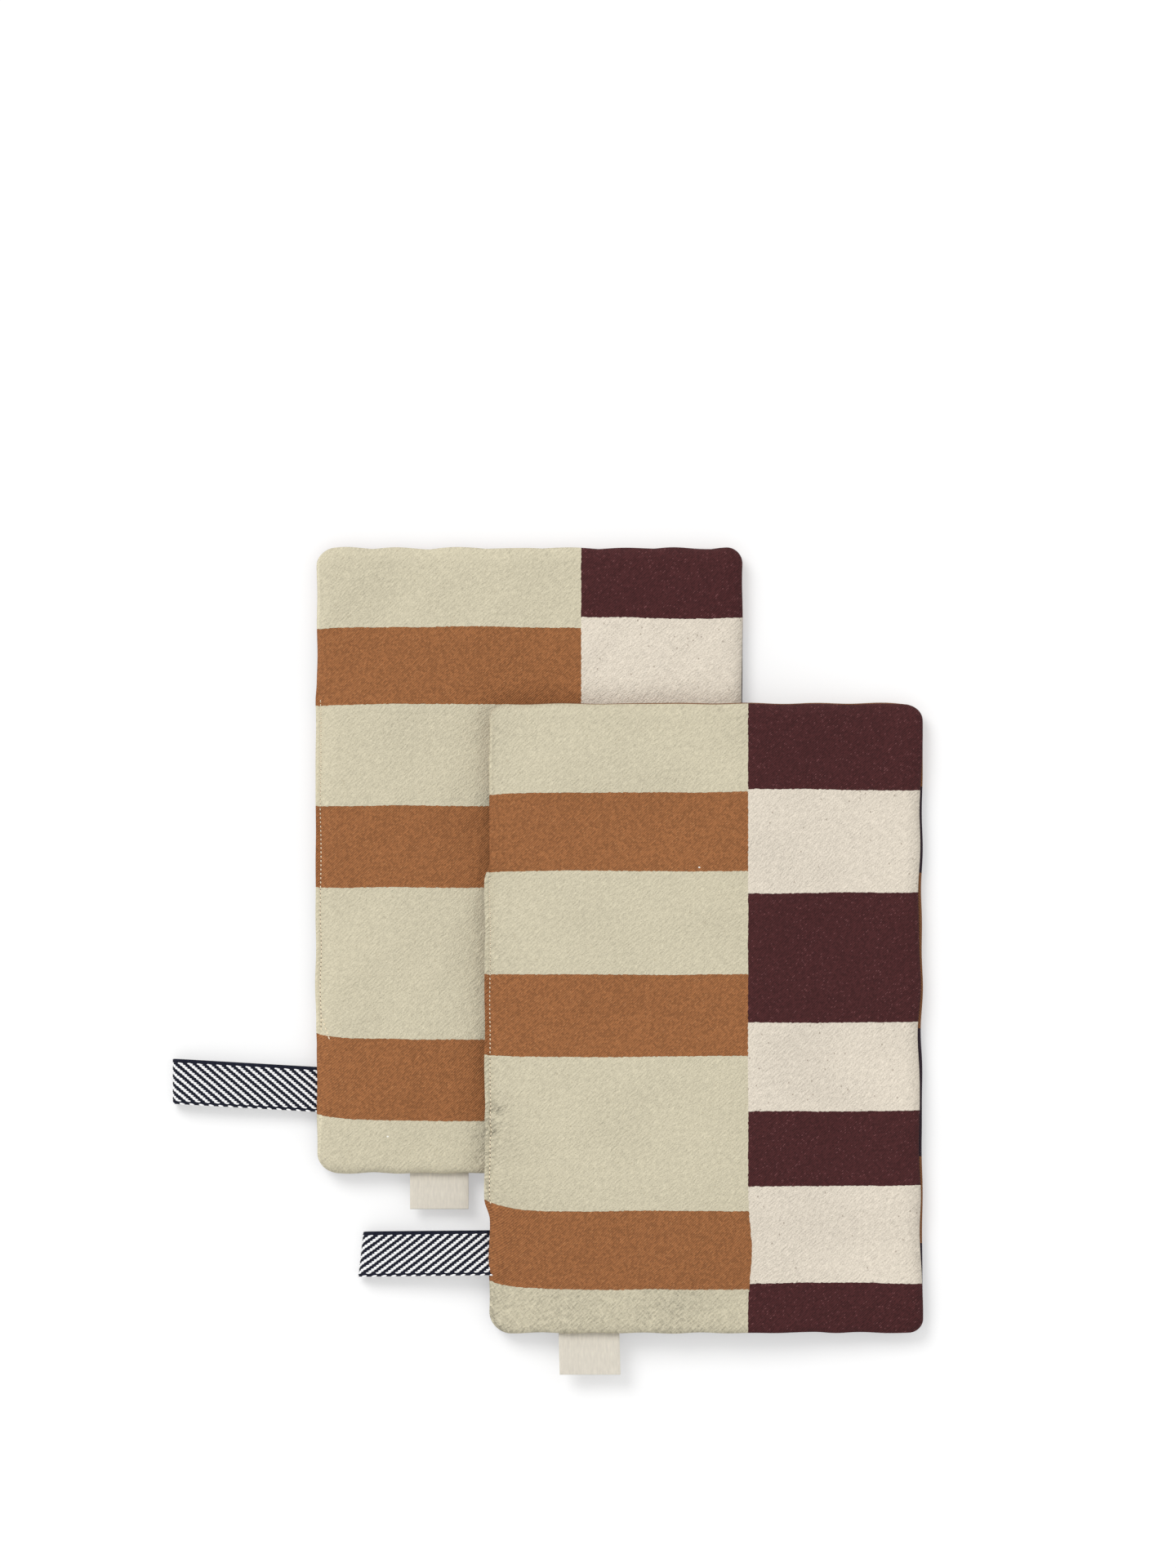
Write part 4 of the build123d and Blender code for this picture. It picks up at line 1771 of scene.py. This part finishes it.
def sew_in(
    form: MittForm, strip: FoldedStrip, pieces: Sequence[bpy.types.Object], names: Sewn
) -> None:
    """Bake a folded strip and what lies on it in place, and hide the node it stands for.

    Args:
        form: the mitt.
        strip: the form of the strip.
        pieces: the strip, and then what lies on it.
        names: what the frame calls it, and how far it takes to bend, which is not used.
    """
    mitt, body = f"{form.name}_mitt", f"{form.name}_{names.body}"
    for piece in pieces:
        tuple(strip.origin)
        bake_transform(piece)
        log.info("%s: %d points, out of %s", piece.name, len(piece.data.vertices), mitt)
    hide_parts(f"{form.name}_{names.node}")
    strip.length()
    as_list(pieces[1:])


@dataclass
class HangingLoop:
    """The loop of striped webbing in the left seam of one mitt."""

    form: MittForm
    palette: Palette
    floats: FloatTree
    stripe_lean: int
    lean: float
    slant: float
    slid: float

    fold_radius = 3.8 * MM
    thickness = 0.8 * MM
    row_count = 24
    row_closeness = 0.985
    float_pitch = 4.3 * MM
    float_overlap = 1.12
    float_tilt = 0.16
    stripe_angle = math.radians(39)
    first_seed = 5

    def strip(self) -> FoldedStrip:
        """Read where the loop leaves the seam, and how far it reaches."""
        low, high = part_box(f"{self.form.name}_hanging_loop")
        middle = (low.y + high.y) / 2
        v = middle - self.form.mouth
        seam = float(self.form.plane(Side.BACK, np.array([0.0]), np.array([v]))[0])
        return FoldedStrip(
            origin=Vector((self.form.left, middle - self.slid, seam)),
            out=Vector((-1, 0, 0)), wide=Vector((0, 1, 0)), width=high.y - low.y,
            reach=self.form.left - low.x, drop=seam - low.z - self.fold_radius,
            fold_radius=self.fold_radius, thickness=self.thickness, root=3 * MM,
            root_gap=0.5 * MM, lean=self.lean, slant=self.slant,
        )

    def build(self) -> None:
        """Make the webbing and its yarns, bending out of the seam."""
        strip = self.strip()
        webbing = strip.mesh(f"{self.form.name}_loop_webbing")
        self.palette.tape.dress(webbing)
        pieces = [webbing]
        row_pitch = strip.width / self.row_count
        shift = self.stripe_lean * row_pitch / math.tan(self.stripe_angle)
        white, navy = self.palette.white_yarn, self.palette.navy_yarn
        # Name, finish, start along the tape, length, height, lowest row and count of rows.
        yarns = (
            ("white", white, 0.0, 3.0 * MM, 0.6 * MM, 1.4, self.row_count - 3),
            ("navy", navy, self.float_pitch / 2, 2.1 * MM, 0.40 * MM, 0.0, self.row_count),
            ("edge", white, -1.6 * shift, 2.6 * MM, 0.8 * MM, -0.2, 1),
        )
        for number, (word, finish, start, length, height, low_row, rows) in enumerate(yarns):
            middle_row = low_row + (rows - self.row_count) / 2
            line = strip.line() + middle_row * row_pitch * np.array((0.0, 1.0, 0.0))
            values = {
                "Columns": math.ceil(strip.length() / self.float_pitch) + 1,
                "Rows": rows,
                "Pitch": self.float_pitch,
                "Row pitch": row_pitch * self.row_closeness,
                "Row shift": shift,
                "Start": start,
                "Length": length,
                "Width": row_pitch * self.float_overlap,
                "Height": height,
                "Lift": self.thickness / 2,
                "Wide": (0.0, 1.0, 0.0),
                "Tilt": self.float_tilt * self.stripe_lean,
                "Seed": self.first_seed + number,
                "Material": finish.material,
            }
            piece = self.floats.make(f"{self.form.name}_loop_{word}_yarn", line, values)
            strip.skew_mesh(piece)
            pieces.append(piece)
        sew_in(self.form, strip, pieces, Sewn("hanging_loop", "loop", "loop_tape", 8 * MM))


@dataclass
class MouthTab:
    """The bare cotton tab that is sewn into the mouth hem of one mitt."""

    form: MittForm
    palette: Palette
    lean: float

    thickness = 0.35 * MM
    fold_radius = 0.55 * MM
    hem_gap = 0.9 * MM
    hang = 0.2

    def build(self) -> None:
        """Make the folded tab, hanging out of the hem."""
        low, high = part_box(f"{self.form.name}_label")
        middle = (low.x + high.x) / 2
        u = np.array([middle - self.form.left])
        v = np.array([0.0])
        plane = self.form.plane(Side.FRONT, u, v)
        under_hem = float((plane + self.form.hand(u, v))[0]) - self.form.cloth - self.hem_gap
        origin = Vector((middle, self.form.mouth, under_hem))
        strip = FoldedStrip(
            origin=origin, out=Vector((0, -1, 0)), wide=Vector((1, 0, 0)),
            width=high.x - low.x, reach=self.form.mouth - low.y,
            drop=self.hang * max(under_hem - low.z - self.fold_radius, 0.0),
            fold_radius=self.fold_radius, thickness=self.thickness, root=5 * MM,
            root_gap=0.25 * MM, lean=self.lean, curl=0.5 * MM,
        )
        tab = strip.mesh(f"{self.form.name}_cotton_tab")
        self.palette.label.dress(tab)
        sew_in(self.form, strip, [tab], Sewn("label", "tab", "label_cotton", 4 * MM))


# ------------ stitching


@dataclass
class Topstitching:
    """The line of stitches that closes the left seam of one mitt, and its back-tack."""

    pair: Pair
    form: MittForm
    palette: Palette
    stitches: StitchTree
    back_tack: bool

    pitch = 1.9 * MM
    stitch_length = 1.35 * MM
    thread = 0.62 * MM
    thread_height = 0.14 * MM
    # Size and height of the dark beads that paint the shade in the needle holes.
    hole = 0.5 * MM
    hole_height = 0.22 * MM
    end_gap = 3 * MM
    tack_width = 3.3 * MM

    def build(self) -> None:
        """Make the stitches on the front and on the back."""
        e = self.form.edges
        v = np.arange(e.stitched_from + self.end_gap, e.stitched_to - self.end_gap, 0.5 * MM)
        u = self.form.stitch_inset + 0.1 * MM * Ripple(e.seed + 31, 40 * MM)(v)
        for side in Side:
            word = side.name.lower()
            self.run(f"{self.form.name}_{word}_topstitching", side, u, v)
            # Dark beads that paint the shade in the needle holes between the stitches.
            self.run(f"{self.form.name}_{word}_needle_holes", side, u[2:], v[2:], holes=True)
        if self.back_tack:
            tack_v = np.linspace(e.stitched_from - 1 * MM, e.stitched_from + 9 * MM, 24)
            inset = self.form.stitch_inset
            tack_u = np.linspace(inset + self.tack_width, inset, 24)
            self.run(f"{self.form.name}_back_tack", Side.FRONT, tack_u, tack_v)

    def run(
        self, name: str, side: Side, u: Array, v: Array, holes: bool = False
    ) -> None:
        """Make one run of stitches, or of the dark beads that paint the shade in the needle holes
        between them, on a cover.

        Args:
            name: the piece's name.
            side: the panel it is seen on.
            u: distances of the line from the left edge.
            v: distances from the mouth.
            holes: whether to make the beads of painted shade in the needle holes.
        """
        form = self.form
        at_u, at_v = form.strayed(u, v)
        height = self.pair.cover(form, side, u, v)
        height = height + (self.hole_height if holes else self.thread_height)
        z = form.plane(side, at_u, at_v) + side.value * height
        finish = self.palette.needle_hole if holes else self.palette.thread
        values = {
            "Pitch": self.pitch,
            "Length": self.hole if holes else self.stitch_length,
            "Thickness": self.hole if holes else self.thread,
            "Up": (0.0, 0.0, float(side.value)),
            "Slant": 0.0 if holes else 0.06,
            "Unevenness": 0.05,
            "Seed": form.edges.seed,
            "Material": finish.material,
        }
        piece = self.stitches.make(name, form.place(at_u, at_v, z), values)
        settle(piece, f"{form.name}_mitt", "loop_tape")


# ------------ studio


@dataclass(frozen=True)
class Studio:
    """Camera straight above, soft daylight from the upper left, and a white floor."""

    frame_height: float = 0.696
    centre: tuple[float, float] = (0.0181, 0.0785)
    distance: float = 8.0
    sensor: float = 36.0
    focus_height: float = 12 * MM
    sky: float = 0.74
    sun: float = 1.3
    sun_angle: float = 30.0
    sun_elevation: float = 47.0
    sun_bearing: tuple[float, float] = (-0.62, 0.78)
    floor_glow: float = 0.34
    floor_drop: float = 0.1 * MM

    def build(self) -> None:
        """Make the camera, the lights and the floor."""
        scene = bpy.context.scene
        scene.view_settings.view_transform = "Standard"
        data = bpy.data.cameras.new("camera")
        data.sensor_width = self.sensor
        data.lens = self.sensor * self.distance / self.frame_height
        data.clip_end = 50
        camera = linked("camera", data)
        camera.location = (*self.centre, self.distance + self.focus_height)
        scene.camera = camera
        self.world(scene)
        self.daylight()
        self.floor()

    def world(self, scene: bpy.types.Scene) -> None:
        """White surroundings, brighter only where they are seen directly."""
        world = bpy.data.worlds.new("studio")
        world.use_nodes = True
        scene.world = world
        bench = Bench(world.node_tree)
        seen = self.seen(bench)
        strength = self.sky + seen * (1 - self.sky)
        light = bench.wire(
            "ShaderNodeBackground", None, {"Color": (1, 1, 1, 1), "Strength": strength}
        )
        bench.node("ShaderNodeOutputWorld", None, {"Surface": light})

    @staticmethod
    def seen(bench: Bench) -> Wire:
        """1 for what the camera sees, in a reflection or through glass too."""
        path = bench.node("ShaderNodeLightPath")
        kinds = ("Is Camera Ray", "Is Glossy Ray", "Is Transmission Ray")
        camera, glossy, through = (Wire(bench, path.outputs[kind]) for kind in kinds)
        return (camera + glossy + through).clamped()

    def daylight(self) -> None:
        """A broad sun."""
        data = bpy.data.lights.new("daylight", "SUN")
        data.energy = self.sun
        data.angle = math.radians(self.sun_angle)
        light = linked("daylight", data)
        rise_of_sun = math.tan(math.radians(self.sun_elevation)) * math.hypot(*self.sun_bearing)
        towards = Vector((*self.sun_bearing, rise_of_sun))
        light.rotation_euler = towards.to_track_quat("Z", "Y").to_euler()

    def floor(self) -> None:
        """A plain white floor that keeps the soft shadow."""
        half = FLOOR_SPAN / 2
        level = -self.floor_drop
        corners = np.array(
            [(-half, -half, level), (half, -half, level), (half, half, level), (-half, half, level)]
        )
        floor = add_mesh("studio_floor", corners, [(0, 1, 2, 3)], smooth=False)
        material = bpy.data.materials.new("studio_floor")
        material.use_nodes = True
        bench = Bench(material.node_tree)
        plain = bench.wire("ShaderNodeBsdfDiffuse", None, {"Color": (0.8, 0.8, 0.8, 1)})
        share = 1 - self.floor_glow
        white = bench.wire("ShaderNodeBsdfDiffuse", None, {"Color": (share, share, share, 1)})
        values = {"Color": (1, 1, 1, 1), "Strength": self.floor_glow + 0.03}
        glow = bench.wire("ShaderNodeEmission", None, values)
        bright = bench.wire("ShaderNodeAddShader", None, {0: white, 1: glow})
        result = bench.wire("ShaderNodeMixShader", None, {0: self.seen(bench), 1: plain, 2: bright})
        bench.node("ShaderNodeOutputMaterial", None, {"Surface": result})
        floor.data.materials.append(material)


# ------------ the pair


def main() -> None:
    """Dress both mitts and set up the studio."""
    logging.basicConfig(level=logging.INFO, format="%(message)s")
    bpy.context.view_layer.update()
    pair = Pair()
    palette = Palette()
    stitches = StitchTree()
    floats = FloatTree()
    for form in (pair.lower, pair.upper):
        Panels(pair, form, palette).build()
        Topstitching(pair, form, palette, stitches, back_tack=form is pair.lower).build()
    HangingLoop(
        pair.lower, palette, floats, stripe_lean=1, lean=0.056, slant=0.0, slid=0.9 * MM
    ).build()
    HangingLoop(
        pair.upper, palette, floats, stripe_lean=-1, lean=-0.015, slant=-0.11, slid=0.4 * MM
    ).build()
    MouthTab(pair.lower, palette, lean=0.0).build()
    MouthTab(pair.upper, palette, lean=0.026).build()
    Studio().build()


if __name__ == "__main__":
    main()
